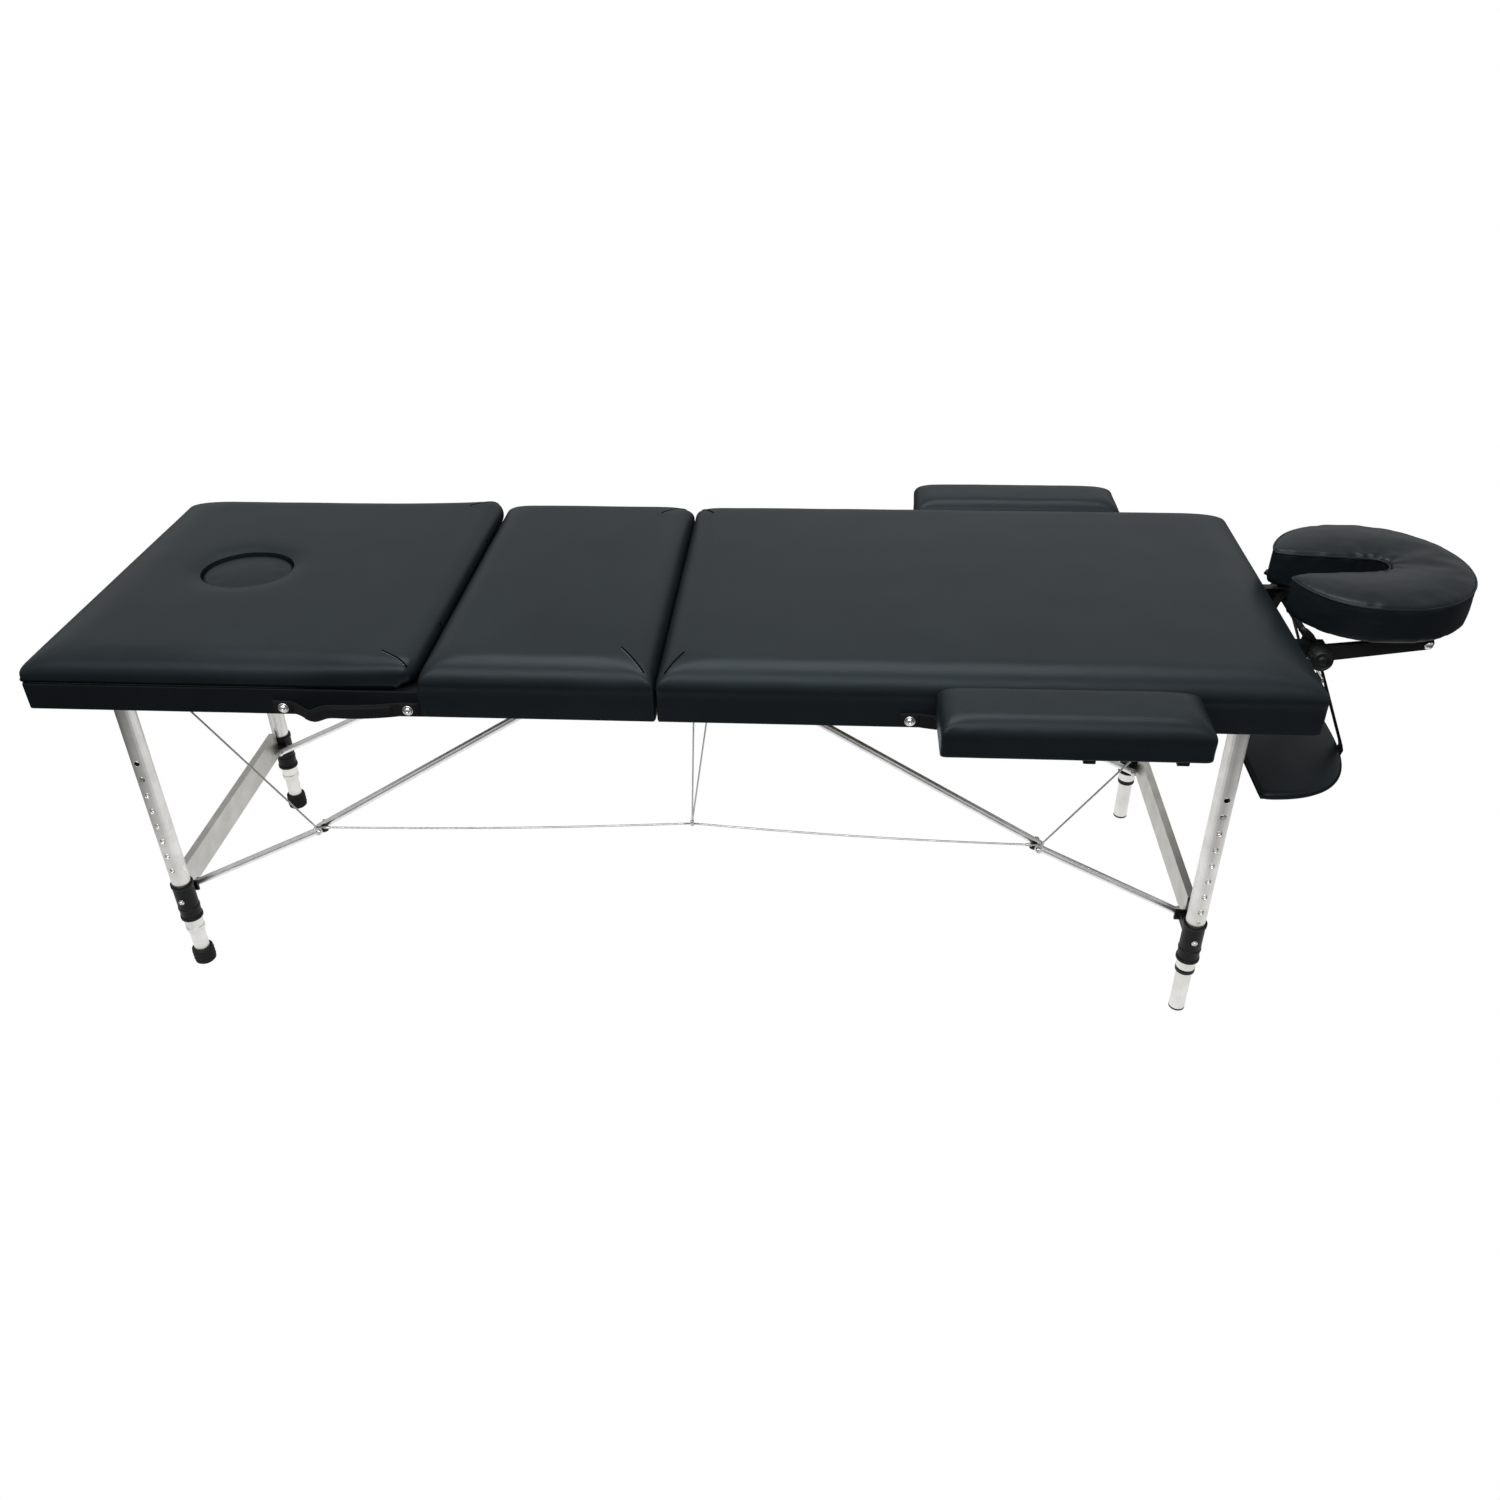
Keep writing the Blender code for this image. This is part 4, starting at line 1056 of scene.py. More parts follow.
def horseshoe_outline(inset=0.0, n_out=84, slot_r=23.0, mouth=36.0, x_end=1088.0):
    """Plan outline: a broad round outside and a slot open toward the table."""
    rx, ry = HRX - inset, HRY - inset
    cx = x_end - slot_r
    sr = slot_r + inset
    mo = mouth + inset
    a0 = math.asin((mo + 15) / ry)
    pts = []
    for i in range(n_out + 1):
        a = math.pi - a0 - (2 * math.pi - 2 * a0) * i / n_out
        c = math.cos(a)
        if c < 0:
            c = -abs(c) ** 0.78
        x, y = HCX + rx * c, ry * math.sin(a)
        pts.append((x, y))
    # near tip corner, rounded, then the slot
    xt = pts[-1][0]
    for i in range(1, 7):
        a = math.radians(180 + 90 * i / 6)
        pts.append((xt + 13 + 13 * math.cos(a), -(mo + 2) - 13 * 0 + -13 * (0) + 0 + (-13 - 13 * math.sin(a)) * 1.0))
    for i in range(1, 12):
        t = i / 12
        w = mo + (sr - mo) * (t ** 0.8)
        pts.append((xt + 13 + (cx - xt - 13) * t, -w))
    for i in range(0, 15):
        a = math.radians(-90 + 180 * i / 14)
        pts.append((cx + sr * math.cos(a), sr * math.sin(a)))
    for i in range(11, 0, -1):
        t = i / 12
        w = mo + (sr - mo) * (t ** 0.8)
        pts.append((xt + 13 + (cx - xt - 13) * t, w))
    for i in range(6, 0, -1):
        a = math.radians(180 + 90 * i / 6)
        pts.append((xt + 13 + 13 * math.cos(a), (13 + 13 * math.sin(a)) + mo + 2))
    return pts


def headrest_cushion():
    inset = 1.0
    out = horseshoe_outline(inset)
    z0, z1 = HZ0 + 1.0, HZ1 + 1.0
    n = len(out)
    verts = [(x, y, z0) for x, y in out] + [(x, y, z1) for x, y in out]
    faces = [tuple(range(n))[::-1], tuple(range(n, 2 * n))]
    for i in range(n):
        j = (i + 1) % n
        faces.append((i, j, n + j, n + i))
    ob = mesh_object("headrest_cushion_cover", verts, faces)
    puff(ob, 5.0, 4.0, 14, 6.5, pin_below=HZ0 + 4)
    smooth_mesh(ob, 12, 0.5)
    # pulled fabric: folds run out from the inner end of the slot, and short
    # creases run down the outer side
    cx = 1088.0 - 23.0
    me = ob.data
    me.update()
    nrm = [v.normal.copy() for v in me.vertices]
    for v, nn in zip(me.vertices, nrm):
        x, y, z = v.co / MM
        dx, dy = x - cx, y
        d = math.hypot(dx, dy)
        a = math.atan2(dy, dx)
        top = 1.0 if z > HZ1 - 16 else 0.0
        k = 0.0
        if d < 75:
            fall = math.exp(-((d - 26) / 15.0) ** 2)
            k += 1.3 * fall * math.sin(a * 11 + 0.8 * math.sin(a * 3)) * (0.35 + 0.65 * (z > HZ1 - 30))
        if abs(y) < 52 and x < cx and z < HZ1 - 6:
            k += 0.9 * math.sin(x / 6.5 + 0.6 * math.sin(z / 9)) * math.exp(-((abs(y) - 30) / 18.0) ** 2)
        q = Vector((x / 34.0, y / 34.0, z / 16.0))
        k += (0.35 if z > HZ1 - 6 else 0.6) * noise.noise(q) + 0.3 * noise.noise(q * 2.3)
        # creases hanging from the seam on the outer side
        ao = math.atan2(y, x - HCX)
        edge = math.hypot((x - HCX) / HRX, y / HRY)
        if edge > 0.93 and z < HZ1 - 8:
            k += 0.55 * max(0.0, noise.noise(Vector((ao * 5.0, z / 9.0, 4.0)))) * 2.0
        v.co += nn * (k * MM * (0.25 if z < HZ0 + 3 else 1.0))
    # keep above the bottom of the space the CAD cushion holds
    for v in me.vertices:
        if v.co.z < (HZ0 + 0.2) * MM:
            v.co.z = (HZ0 + 0.2) * MM
    subdivide(ob, 1)
    ob.data.shade_smooth()
    link(ob, "cover", "headrest")
    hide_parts("headrest_cushion")
    return ob


head = headrest_cushion()
t_head = bvh(head)
seam_pts = []
for x, y in horseshoe_outline(-4.0):
    h = t_head.find_nearest(Vector((x, y, HZ1 - 2.0)) * MM)
    seam_pts.append(h[0] / MM + h[1] * 1.1)
# even out the path so the piping stays smooth
for _ in range(3):
    seam_pts = [(seam_pts[i - 1] + seam_pts[i] * 2 + seam_pts[(i + 1) % len(seam_pts)]) / 4 for i in range(len(seam_pts))]
ob = tube("headrest_piping", seam_pts, 1.8, segs=8, closed=True)
link(ob, "cover", "headrest")


# ------------------------------------------------------------ sling
def sling_shelf():
    lo, hi = cbox("sling_shelf")
    x0, x1 = lo.x / MM, hi.x / MM
    hw = hi.y / MM
    z0, z1 = lo.z / MM, hi.z / MM
    N = 56
    def outline(inset):
        pts = []
        for i in range(N + 1):
            a = math.radians(-90 + 180 * i / N)
            rx, ry = (x1 - x0) - inset, hw - inset
            pts.append((x0 + inset * 0.6 + (rx - inset * 0.6) * abs(math.cos(a)) ** (2 / 2.8),
                        ry * math.copysign(abs(math.sin(a)) ** (2 / 2.8), math.sin(a))))
        M = 26
        ya, yb = pts[-1][1], pts[0][1]
        for i in range(1, M):
            pts.append((x0 + inset * 0.6, ya + (yb - ya) * i / M))
        return pts
    zc, hz = (z0 + z1) / 2, (z1 - z0) / 2
    rings = []
    for i in range(9):
        a = math.radians(-90 + 180 * i / 8)
        rings.append((outline(hz * 0.9 * (1 - math.cos(a))), zc + hz * math.sin(a)))
    verts, faces = [], []
    n = len(rings[0][0])
    for pts, z in rings:
        for x, y in pts:
            verts.append((x, y, z))
    for r in range(len(rings) - 1):
        for k in range(n):
            j = (k + 1) % n
            faces.append((r * n + k, r * n + j, (r + 1) * n + j, (r + 1) * n + k))
    # top and bottom: rings closing toward the middle, gently crowned
    def cap(base, z, sgn):
        pts = [verts[base + k] for k in range(n)]
        cxm = x0 + (x1 - x0) * 0.42
        last = base
        for s in (0.86, 0.68, 0.48, 0.28, 0.12):
            start = len(verts)
            for (x, y, _) in pts:
                xx, yy = cxm + (x - cxm) * s, y * s
                zz = z + sgn * 1.6 * (1 - s * s) + 0.5 * noise.noise(Vector((xx / 40, yy / 40, sgn)))
                verts.append((xx, yy, zz))
            for k in range(n):
                j = (k + 1) % n
                q = (last + k, last + j, start + j, start + k)
                faces.append(q if sgn > 0 else q[::-1])
            last = start
        faces.append(tuple(range(last, last + n)) if sgn > 0 else tuple(range(last, last + n))[::-1])
    cap((len(rings) - 1) * n, rings[-1][1], 1.0)
    cap(0, rings[0][1], -1.0)
    ob = mesh_object("sling_shelf_cover", verts, faces)
    subdivide(ob, 1)
    link(ob, "vinyl", "sling")
    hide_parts("sling_shelf")
    pts = [(x, y, zc + 0.2) for x, y in outline(-0.6)]
    pipe = tube("sling_piping", pts, 1.6, segs=8, closed=True)
    # the piping round the shelf's side takes the darker copy of the vinyl as painted shade
    link(pipe, "vinyl_painted_shade", "sling")
    return ob, (x0, x1, hw, z0, z1)


shelf, (SX0, SX1, SHW, SZ0, SZ1) = sling_shelf()
AX, AZ = 969.0, 577.0
for nm, s in (("near", -1.0), ("far", 1.0)):
    y = s * 70.0
    # one loop over the cross tube: inner leg to the table side of the shelf,
    # outer leg to its far edge, both wrapped round under the shelf
    pts, wd = [], []
    def add(x, yy, z, w=(0, 1, 0)):
        pts.append((x, yy, z))
        wd.append(w)
    add(SX0 + 30, y, SZ0 - 3.0)
    add(SX0 + 8, y, SZ0 - 3.2)
    add(SX0 - 3.5, y, SZ0 - 1.0)
    add(SX0 - 5.0, y, (SZ0 + SZ1) / 2)
    add(SX0 - 2.5, y, SZ1 + 4)
    for i in range(1, 12):
        t = i / 12
        add(SX0 - 2.5 + (AX - 8.2 - SX0 + 2.5) * t, y + 0.8 * math.sin(6 * t), SZ1 + 4 + (AZ - 3 - SZ1 - 4) * t)
    for i in range(0, 10):
        a = math.radians(180 - 20 * i)
        add(AX + 8.2 * math.cos(a), y, AZ + 8.2 * math.sin(a))
    for i in range(1, 13):
        t = i / 12
        add(AX + 8.2 + (SX1 + 1.5 - AX - 8.2) * t, y - 1.0 * math.sin(5 * t), AZ - 3 + (SZ1 + 3 - AZ + 3) * t)
    add(SX1 + 4.2, y, (SZ0 + SZ1) / 2)
    add(SX1 + 1.5, y, SZ0 - 2.2)
    add(SX1 - 10, y, SZ0 - 3.4)
    add(SX1 - 30, y, SZ0 - 3.0)
    ob = ribbon("sling_strap_" + nm + "_web", pts, wd, 24.0, 2.0)
    link(ob, "web_y", "sling")
    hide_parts("sling_strap_" + nm)
    # the two places where the strap doubles, with their directions; nothing is built from them
    for k, (px, pz, dx, dz) in enumerate(((SX0 + 4, SZ1 + 34, 0.30, 0.95), (SX1 - 10, SZ1 + 34, -0.38, 0.92))):
        d = Vector((dx, 0, dz)).normalized()
        nrm = Vector((d.z, 0, -d.x))


# ------------------------------------------------------------ handles
def screw(name, pos, axis, body, R=7.6, head=4.6):
    """Washer and pan head with a driving recess."""
    ob = lathe(name + "_washer", [(0, 0), (R, 0), (R + 0.2, 0.4), (R, 1.2), (R - 0.6, 1.5), (0, 1.5)], pos, axis, 32)
    link(ob, "steel", body)
    prof = [(0, 1.45), (head + 0.6, 1.45), (head + 0.7, 2.0), (head + 0.3, 3.0), (head - 0.8, 3.9), (head - 2.0, 4.3),
            (1.9, 4.35), (1.7, 3.2), (0, 3.0)]
    ob = lathe(name + "_head", prof, pos, axis, 24)
    link(ob, "steel", body)


def handle(name, nodes, x0, x1, body, buckle):
    """A webbing grip between two screws: flat tabs, a padded sleeve between
    them, and slack that buckles near one end."""
    y = -HW - 2.6
    z = 566.0
    pts, wd = [], []
    N = 44
    for i in range(N + 1):
        t = i / N
        x = x0 - 15 + (x1 - x0 + 30) * t
        tt = (x - x0) / (x1 - x0)
        out = 0.0
        drop = 0.0
        if 0.07 < tt < 0.93:
            s = (tt - 0.07) / 0.86
            out = 9.0 * math.sin(math.pi * s) ** 0.8 + 2.8 * math.exp(-((s - buckle) / 0.07) ** 2)
            drop = 9.0 * math.exp(-((s - buckle) / 0.11) ** 2) + 1.0 * math.sin(math.pi * s)
        pts.append((x, y - out, z - drop))
        wd.append((0, -0.18 * math.exp(-((tt - buckle) / 0.2) ** 2), 1))
    ob = ribbon(name + "_strap", pts, wd, 23.0, 2.2)
    link(ob, "web", body)
    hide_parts(*nodes)
    # sleeve over the middle
    sub = [p for p in pts if x0 + 0.16 * (x1 - x0) < p[0] < x1 - 0.12 * (x1 - x0)]
    sl = ribbon(name + "_sleeve", sub, (0, 0, 1), 18.0, 6.0)
    link(sl, "web", body)
    for k, xx in enumerate((x0, x1)):
        # the strap's end is doubled under the screw
        tab = ribbon(name + "_tab%d" % k, [(xx - 12 + 24 * i / 6, y - 1.9, z) for i in range(7)], (0, 0, 1), 21.0, 2.0)
        link(tab, "web", body)
        screw(name + "_screw%d" % k, (xx, y - 2.6, z), (0, -1, 0), body)
    return ob


handle("grip_left", ["left_handle"], -538.0, -356.0, "left_half", 0.18)
handle("grip_right", ["right_handle"], 358.0, 540.0, "right_half", 0.85)

# ------------------------------------------------------------ legs
LEGS = {}
HOLE_PITCH = 30.4
HOLE_TOP = {}
for side in ("left", "right"):
    # the button sits in the second hole from the top
    lo, hi = cbox(side + "_near_button")
    HOLE_TOP[side] = (lo.z + hi.z) / 2 / MM + HOLE_PITCH
for side in ("left", "right"):
    for end, t in (("near", -1.0), ("far", 1.0)):
        nm = side + "_" + end
        lo, hi = cbox(nm + "_outer_leg")
        lx, ly = (lo.x + hi.x) / 2 / MM, (lo.y + hi.y) / 2 / MM
        c0, c1 = cbox(nm + "_collar")
        z0, z1 = c0.z / MM, c1.z / MM
        LEGS[nm] = (lx, ly, z0, z1)
        body = side + "_legs"
        # rings on the collar: lip at the top, groove and lip at the bottom
        for k, (za, zb, rr) in enumerate(((z1 - 6, z1 + 1.0, 18.3), (z0 + 20, z0 + 24, 17.8), (z0 - 1.0, z0 + 5, 18.3))):
            prof = [(15.35, za), (rr - 0.6, za), (rr, za + 0.8), (rr, zb - 0.8), (rr - 0.6, zb), (15.35, zb)]
            segs = 36
            verts, faces = [], []
            for r, z in prof:
                for i in range(segs):
                    a = 2 * math.pi * i / segs
                    verts.append((lx + r * math.cos(a), ly + r * math.sin(a), z))
            M = len(prof)
            for i in range(M):
                for k2 in range(segs):
                    j = (k2 + 1) % segs
                    a, b = i * segs, ((i + 1) % M) * segs
                    faces.append((a + k2, a + j, b + j, b + k2))
            ob = mesh_object("%s_collar_ring%d" % (nm, k), verts, faces)
            link(ob, "black_plastic", body)
        # worn bright rims round the row of holes
        for k in range(8):
            zh = HOLE_TOP[side] - HOLE_PITCH * k
            pts = []
            for i in range(20):
                a = 2 * math.pi * i / 20
                dx = 4.7 * math.cos(a)
                pts.append((lx + dx, ly + t * (math.sqrt(15.0 ** 2 - dx * dx) + 0.05), zh + 4.7 * math.sin(a)))
            ob = tube("%s_hole_rim%d" % (nm, k), pts, 0.45, segs=6, closed=True)
            link(ob, "steel", body)
        # clamp screw on the collar and rivets on the tube
        screw(nm + "_collar_screw", (lx, ly + t * 17.0, z1 - 30), (0, t, 0), body, R=4.6, head=2.6)
        b0, b1 = cbox(nm + "_button")
        rz = 170.0 if side == "left" else 190.0
        prof = [(0, 0), (2.6, 0), (2.9, 0.5), (2.2, 1.1), (0, 1.4)]
        if z1 < rz - 6:
            ob = lathe(nm + "_rivet", prof, (lx, ly + t * 14.9, rz), (0, t, 0), 20)
            link(ob, "steel", body)
        # end ring of the outer tube
        zo = lo.z / MM
        prof = [(12.75, zo - 1.2), (14.6, zo - 1.2), (15.4, zo - 0.4), (15.4, zo + 6.5), (15.05, zo + 7.5), (15.05, zo + 0.3), (12.75, zo - 0.2)]
        segs = 32
        verts, faces = [], []
        for r, z in prof:
            for i in range(segs):
                a = 2 * math.pi * i / segs
                verts.append((lx + r * math.cos(a), ly + r * math.sin(a), z))
        M = len(prof)
        for i in range(M):
            for k2 in range(segs):
                j = (k2 + 1) % segs
                a, b = i * segs, ((i + 1) % M) * segs
                faces.append((a + k2, a + j, b + j, b + k2))
        ob = mesh_object(nm + "_tube_end", verts, faces)
        link(ob, "black_plastic" if side == "right" else "alu", body)
        # dark plug in the right legs' open feet
        if side == "right":
            ob = lathe(nm + "_foot_plug", [(0, 0.3), (11.6, 0.3), (12.6, 1.2), (12.75, 3.0), (12.55, 4.2), (0, 4.6)], (lx, ly, 0), (0, 0, 1), 32)
            link(ob, "rubber", nm + "_foot")
        else:
            for k in range(3):
                zz = 8 + 7 * k
                pts = [(lx + 17.35 * math.cos(2 * math.pi * i / 40), ly + 17.35 * math.sin(2 * math.pi * i / 40), zz) for i in range(40)]
                ob = tube("%s_cap_rib%d" % (nm, k), pts, 0.7, segs=6, closed=True)
                link(ob, "rubber", nm + "_foot")

# ------------------------------------------------------------ brace hardware
def knee_of(side):
    """The knee: the bored hole common to both braces, from their boxes."""
    s = -1.0 if side == "left" else 1.0
    lo, hi = cbox(side + "_near_lower_brace")
    l2, h2 = cbox(side + "_near_upper_brace")
    # the upper brace starts 9 mm beyond the knee along its own line
    b = joint_at(side + "_upper_brace_turn")
    far_x = (l2.x if s < 0 else h2.x) / MM
    low_z = l2.z / MM
    # the brace's axis runs from the pivot to its low end (radius 6)
    dx, dz = far_x - b[0], low_z - b[2]
    ang = math.atan2(abs(dz), abs(dx))
    for _ in range(6):
        ex = abs(far_x - b[0]) - 6 * math.sin(ang)
        ez = abs(low_z - b[2]) - 6 * math.cos(ang)
        ang = math.atan2(ez, ex)
    L = math.hypot(ex, ez) - 9.0
    return b[0] + s * L * math.cos(ang), b[2] - L * math.sin(ang)


KNEE = {s: knee_of(s) for s in ("left", "right")}
for side in ("left", "right"):
    kx, kz = KNEE[side]
    bx, _, bz = joint_at(side + "_lower_brace_turn")
    ux, _, uz = joint_at(side + "_upper_brace_turn")
    s = -1.0 if side == "left" else 1.0
    for end, t in (("near", -1.0), ("far", 1.0)):
        nm = side + "_" + end
        # bolt through both braces at the knee
        prof = [(0, 0), (2.6, 0), (2.6, 30.5), (5.2, 30.5), (5.4, 31.5), (4.6, 33.4), (2.4, 34.2), (2.2, 33.0), (0, 32.8)]
        ob = lathe(nm + "_knee_bolt", prof, (kx, t * 176.5, kz), (0, t, 0), 20)
        link(ob, "steel", side + "_upper_braces")
        nut = lathe(nm + "_knee_nut", [(0, 0), (4.6, 0), (5.2, 0.7), (5.2, 3.4), (4.6, 4.2), (0, 4.2)], (kx, t * 180.6, kz), (0, -t, 0), 6)
        link(nut, "steel", side + "_upper_braces")
        # eyelet of the cables on the bolt
        pts = [(kx + 6.0 * math.cos(2 * math.pi * i / 24), t * 208.6, kz + 5.0 + 7.5 * math.sin(2 * math.pi * i / 24)) for i in range(24)]
        ob = tube(nm + "_eyelet", pts, 1.3, segs=8, closed=True)
        link(ob, "steel", side + "_upper_braces")
        # pivot bolt at the collar ear
        prof = [(0, 0), (4.6, 0), (4.8, 1.0), (4.0, 2.6), (2.6, 3.0), (2.6, 20), (0, 20)]
        ob = lathe(nm + "_ear_bolt", prof, (bx, t * 191.2, bz), (0, t, 0), 20)
        link(ob, "steel", side + "_legs")
        # dark plug inside the lower brace's open end
        lo_dir = Vector((kx - bx, 0, kz - bz)).normalized()
        tip = Vector((kx, t * 200.0, kz)) + lo_dir * 10.0
        prof = [(6.3, -5.0), (6.9, -4.2), (6.9, 1.6), (6.0, 2.8), (0, 3.2)]
        ob = lathe(nm + "_brace_end", [(0, -5.0)] + prof, tip, lo_dir, 24)
        link(ob, "black_plastic", side + "_lower_braces")
        # bolt head at the upper pivot, on the frame
        prof = [(0, 0), (5.0, 0), (5.2, 0.8), (4.4, 2.2), (0, 2.6)]
        ob = lathe(nm + "_upper_bolt", prof, (ux, t * 193.4, uz), (0, t, 0), 20)
        link(ob, "steel", side + "_half")

# ------------------------------------------------------------ cables
CEIL = 589.0
for end, t in (("near", -1.0), ("far", 1.0)):
    y = t * 209.5
    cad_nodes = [end + "_cable"]
    first = None
    mx = 33.0
    zrun = 306.0
    for side in ("left", "right"):
        s = -1.0 if side == "left" else 1.0
        kx, kz = KNEE[side]
        body = side + "_half"
        # stay from the knee to the frame
        pts = [(kx + s * 1, y, kz + 12), (s * 800, y, CEIL)]
        n = 26
        line = [(pts[0][0] + (pts[1][0] - pts[0][0]) * i / n, y, pts[0][2] + (pts[1][2] - pts[0][2]) * i / n) for i in range(n + 1)]
        ob = tube("%s_%s_stay" % (side, end), line, 1.5, segs=8)
        link(ob, "cable", body)
        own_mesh(ob)
        if first is None:
            first = ob
        # run from the knee to the dropper, with a slight sag
        xa = mx - 2 if side == "left" else mx + 2
        za, zb = kz + 12, zrun
        line = []
        for i in range(31):
            q = i / 30
            line.append((kx + (xa - kx) * q, y, za + (zb - za) * q - 5.0 * math.sin(math.pi * q)))
        ob = tube("%s_%s_run" % (side, end), line, 1.5, segs=8)
        link(ob, "cable", body)
        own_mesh(ob)
        # swaged sleeves at the knee
        d = Vector((line[1][0] - line[0][0], 0, line[1][2] - line[0][2])).normalized()
        o = Vector(line[0]) + d * 12
        ob = lathe("%s_%s_ferrule" % (side, end), [(0, 0), (2.0, 0), (2.4, 0.8), (2.4, 9.2), (2.0, 10), (0, 10)], o, d, 16)
        link(ob, "cable", body)
        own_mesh(ob)
    # the two wires up to the frame
    for k, (xb, body) in enumerate(((47.0, "right_half"), (76.0, "right_half"))):
        line = [(mx + (xb - mx) * i / 20, y + (0.0 if k else 0.0), zrun + 2 + (CEIL - zrun - 2) * i / 20) for i in range(21)]
        ob = tube("%s_dropper%d" % (end, k), line, 1.35, segs=8)
        link(ob, "cable", body)
        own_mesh(ob)
    ob = lathe("%s_dropper_clip" % end, [(0, -5), (2.4, -5), (2.9, -4), (2.9, 4), (2.4, 5), (0, 5)], (mx, y, zrun + 1), (0, 0, 1), 16)
    link(ob, "cable", "right_half")
    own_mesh(ob)
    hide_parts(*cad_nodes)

# ------------------------------------------------------------ headrest fittings
KY = -131.0
prof = [(0, 0)]
for r, h in ((15.2, 0.0), (16.0, 0.8), (16.2, 2.5), (15.6, 4.0), (14.0, 4.8), (12.6, 4.4), (11.8, 3.2), (9.0, 2.8), (7.8, 3.4), (6.6, 5.2), (4.6, 6.0), (0, 6.2)):
    prof.append((r, h))
ob = lathe("knob_face", prof, (AX, KY - 0.0, AZ), (0, -1, 0), 48)
link(ob, "black_plastic", "knob")
# grip ribs round the knob
for i in range(18):
    a = 2 * math.pi * i / 18
    p = Vector((AX + 16.1 * math.cos(a), 0, AZ + 16.1 * math.sin(a)))
    ob = tube("knob_rib%02d" % i, [(p.x, -115.5, p.z), (p.x, -119, p.z), (p.x, -126, p.z), (p.x, -129.8, p.z)], 0.9, segs=8)
    link(ob, "black_plastic", "knob")
TX, TZ = 1122.0, 598.0
for t in (-1.0, 1.0):
    prof = [(0, 0), (6.2, 0), (6.6, 0.8), (6.6, 1.8), (5.6, 3.4), (3.6, 4.6), (0, 5.0)]
    ob = lathe("headrest_pin_cap_%s" % ("near" if t < 0 else "far"), prof, (TX, t * 115.6, TZ), (0, t, 0), 28)
    link(ob, "steel", "headrest")
# short curved links between the arms and the platform, on the table side
for t, nm in ((-1.0, "near"), (1.0, "far")):
    y = t * 97.0
    pts = [(946, y, 611), (952, y, 602), (960, y, 596)]
    ob = ribbon("headrest_link_" + nm, [(941, y, 612), (950, y, 607), (958, y, 600), (964, y, 592)], (0, 1, 0), 6.0, 9.0)
    link(ob, "black_steel", "headrest_base")
# bolt on the far end of the cross tube
prof = [(0, 0), (7.5, 0), (8, 0.8), (8, 4.6), (7.2, 5.4), (0, 5.6)]
ob = lathe("headrest_far_nut", prof, (AX, 113.2, AZ), (0, 1, 0), 6)
link(ob, "steel", "headrest_base")
# sockets where the headrest rods enter the end
for t, nm in ((-1.0, "near"), (1.0, "far")):
    prof = [(6.4, 0), (10.5, 0), (10.8, 0.6), (10.2, 1.6), (7.6, 2.2), (6.4, 2.2)]
    segs = 32
    verts, faces = [], []
    for r, h in prof:
        for i in range(segs):
            a = 2 * math.pi * i / segs
            verts.append((X1 + 0.9 + h, t * 92.0 + r * math.cos(a), 572 + r * math.sin(a)))
    for i in range(len(prof)):
        for k2 in range(segs):
            j = (k2 + 1) % segs
            a, b = i * segs, ((i + 1) % len(prof)) * segs
            faces.append((a + k2, a + j, b + j, b + k2))
    ob = mesh_object("headrest_socket_" + nm, verts, faces)
    link(ob, "black_plastic", "right_half")

# ------------------------------------------------------------ case latch
lo, hi = cbox("case_latch")
lx0, ly0, lz0 = (c / MM for c in lo)
lx1, ly1, lz1 = (c / MM for c in hi)
xs = [lx0, (lx0 + lx1) / 2, lx1]
zsn = axis_steps(lz0, lz1, 6, 3, 8)
ysn = axis_steps(ly0, ly1, 5, 3, 4)
P, faces = box_shell(xs, ysn, zsn)
P[:, 0] += 1.1 * np.exp(-((P[:, 2] - (lz0 + 9)) / 5.0) ** 2) * (P[:, 0] > lx0 + 0.5) + 0.7 * np.exp(-((P[:, 2] - (lz1 - 8)) / 4.0) ** 2) * (P[:, 0] > lx0 + 0.5)
edge = smoothstep((lz0 + 10 - P[:, 2]) / 10.0)
P[:, 1] += ((ly0 + ly1) / 2 - P[:, 1]) * 0.35 * edge
ob = mesh_object("latch_lever", P, faces)
bv = ob.modifiers.new("edge", "BEVEL")
bv.width = 0.0006
bv.segments = 2
apply_modifiers(ob)
ob.data.shade_smooth()
ob.data.set_sharp_from_angle(angle=math.radians(40))
link(ob, "steel", "latch")
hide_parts("case_latch")
yc = (ly0 + ly1) / 2
pts = [(lx1 + 1.2, yc - 7, lz0 + 12), (lx1 + 1.6, yc - 7, lz1 - 6), (lx1 + 1.4, yc - 5, lz1 - 3.4), (lx1 + 1.4, yc + 5, lz1 - 3.4),
       (lx1 + 1.6, yc + 7, lz1 - 6), (lx1 + 1.2, yc + 7, lz0 + 12)]
ob = tube("latch_bail", pts, 0.9, segs=8)
link(ob, "steel", "latch")

# ================================================================ stage
FLOOR_GLOSS, FLOOR_NEAR, FLOOR_BOUNCE = 0.08, 0.88, 0.08
SKY_GLOSS, SKY_FILL = 0.50, 0.28


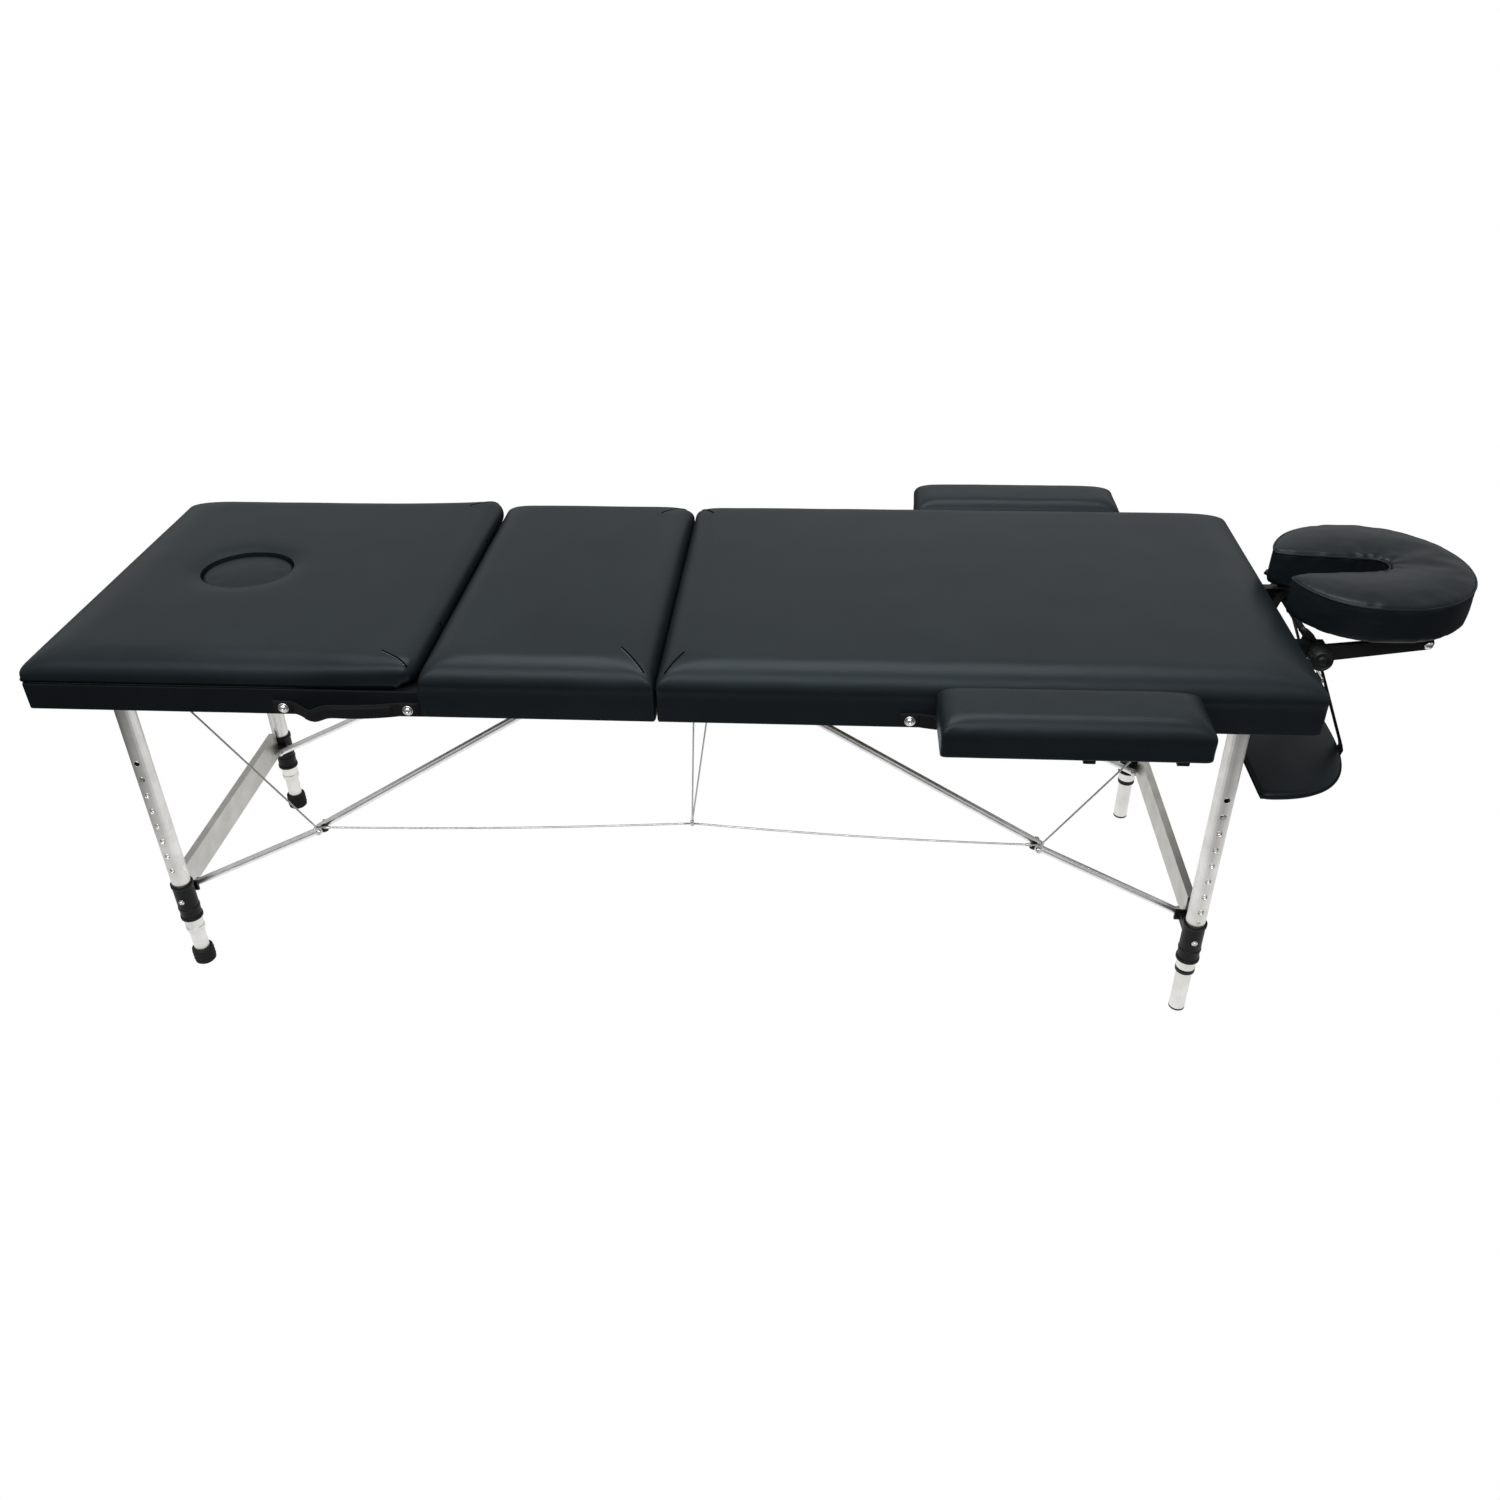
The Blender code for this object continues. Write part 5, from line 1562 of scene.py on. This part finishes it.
def stage_plane():
    s = 30.0
    verts, faces = [], []
    n = 24
    for i in range(n + 1):
        for j in range(n + 1):
            x = (-s + 2 * s * i / n)
            y = (-s + 2 * s * j / n)
            verts.append((x * 1000, y * 1000, -190.0))
    for i in range(n):
        for j in range(n):
            a = i * (n + 1) + j
            faces.append((a, a + n + 1, a + n + 2, a + 1))
    ob = mesh_object("floor", verts, faces)
    m, nt, b = new_mat("stage_floor")
    # a white sweep to the camera; to the object's undersides it is dimmer
    lp = nt.nodes.new("ShaderNodeLightPath")
    em = nt.nodes.new("ShaderNodeEmission")
    em.inputs[0].default_value = (1, 1, 1, 1)
    gl = nt.nodes.new("ShaderNodeEmission")
    gl.inputs[0].default_value = (0.98, 0.98, 1.0, 1)
    geo = nt.nodes.new("ShaderNodeNewGeometry")
    va = nt.nodes.new("ShaderNodeVectorMath")
    va.operation = "ABSOLUTE"
    nt.links.new(geo.outputs["Position"], va.inputs[0])
    vs = nt.nodes.new("ShaderNodeVectorMath")
    vs.operation = "SUBTRACT"
    vs.inputs[1].default_value = (1.0, 0.30, 0.0)
    nt.links.new(va.outputs[0], vs.inputs[0])
    vm = nt.nodes.new("ShaderNodeVectorMath")
    vm.operation = "MAXIMUM"
    vm.inputs[1].default_value = (0.0, 0.0, 0.0)
    nt.links.new(vs.outputs[0], vm.inputs[0])
    vl = nt.nodes.new("ShaderNodeVectorMath")
    vl.operation = "LENGTH"
    nt.links.new(vm.outputs[0], vl.inputs[0])
    mr = nt.nodes.new("ShaderNodeMapRange")
    mr.inputs["From Min"].default_value = 0.55
    mr.inputs["From Max"].default_value = 0.95
    mr.inputs["To Min"].default_value = FLOOR_NEAR
    mr.inputs["To Max"].default_value = FLOOR_GLOSS
    nt.links.new(vl.outputs["Value"], mr.inputs["Value"])
    nt.links.new(mr.outputs[0], gl.inputs[1])
    df = nt.nodes.new("ShaderNodeEmission")
    df.inputs[1].default_value = FLOOR_BOUNCE
    m1 = nt.nodes.new("ShaderNodeMixShader")
    m2 = nt.nodes.new("ShaderNodeMixShader")
    nt.links.new(lp.outputs["Is Glossy Ray"], m1.inputs[0])
    nt.links.new(df.outputs[0], m1.inputs[1])
    nt.links.new(gl.outputs[0], m1.inputs[2])
    nt.links.new(lp.outputs["Is Camera Ray"], m2.inputs[0])
    nt.links.new(m1.outputs[0], m2.inputs[1])
    nt.links.new(em.outputs[0], m2.inputs[2])
    nt.links.new(m2.outputs[0], nt.nodes["Material Output"].inputs[0])
    ob.data.materials.clear()
    ob.data.materials.append(m)
    return ob


floor = stage_plane()

world = bpy.data.worlds.new("studio")
bpy.context.scene.world = world
world.use_nodes = True
bg = world.node_tree.nodes["Background"]
bg.inputs[0].default_value = (1, 1, 1, 1)
wt = world.node_tree
lp = wt.nodes.new("ShaderNodeLightPath")
k1 = wt.nodes.new("ShaderNodeMix")
k1.inputs[2].default_value = SKY_FILL
k1.inputs[3].default_value = SKY_GLOSS
wt.links.new(lp.outputs["Is Glossy Ray"], k1.inputs[0])
k2 = wt.nodes.new("ShaderNodeMix")
k2.inputs[3].default_value = 1.0
wt.links.new(lp.outputs["Is Camera Ray"], k2.inputs[0])
wt.links.new(k1.outputs[0], k2.inputs[2])
wt.links.new(k2.outputs[0], bg.inputs[1])


def area(name, loc, target, size, power, size_y=None):
    l = bpy.data.lights.new(name, "AREA")
    l.energy = power
    l.shape = "RECTANGLE"
    l.size = size
    l.size_y = size_y or size
    o = bpy.data.objects.new(name, l)
    o.location = Vector(loc) + Vector((FOLD_X, 0, 0))
    d = Vector(target) - Vector(loc)
    o.rotation_euler = d.to_track_quat("-Z", "Y").to_euler()
    bpy.context.scene.collection.objects.link(o)
    return o


area("key", (-0.3, -2.3, 3.0), (0, -0.1, 0.6), 3.4, 86, 0.9)
area("top", (0.0, 0.4, 3.6), (0, 0, 0.6), 3.0, 110, 2.0)
area("rim", (1.1, 3.4, 2.0), (0, 0, 0.6), 3.0, 3, 1.2)

# camera
cam = bpy.data.cameras.new("camera")
cam.sensor_fit = "HORIZONTAL"
cam.sensor_width = 36.0
cam.lens = 36.0 * 1296.62 / 1500.0
cam.clip_start = 0.05
cam.clip_end = 100.0
co = bpy.data.objects.new("camera", cam)
right_v = Vector((0.99796429, 0.06224098, -0.01390442))
up_v = Vector((-0.02276345, 0.55129859, 0.83399742))
fw = Vector((-0.05957431, 0.83198313, -0.55159313))
rot = Matrix((right_v, up_v, -fw)).transposed().to_4x4()
co.matrix_world = Matrix.Translation(Vector((0.24397 + FOLD_X, -1.84796, 1.53443))) @ rot
bpy.context.scene.collection.objects.link(co)
bpy.context.scene.camera = co
bpy.context.scene.view_settings.view_transform = "Standard"
bpy.context.scene.view_settings.look = "None"
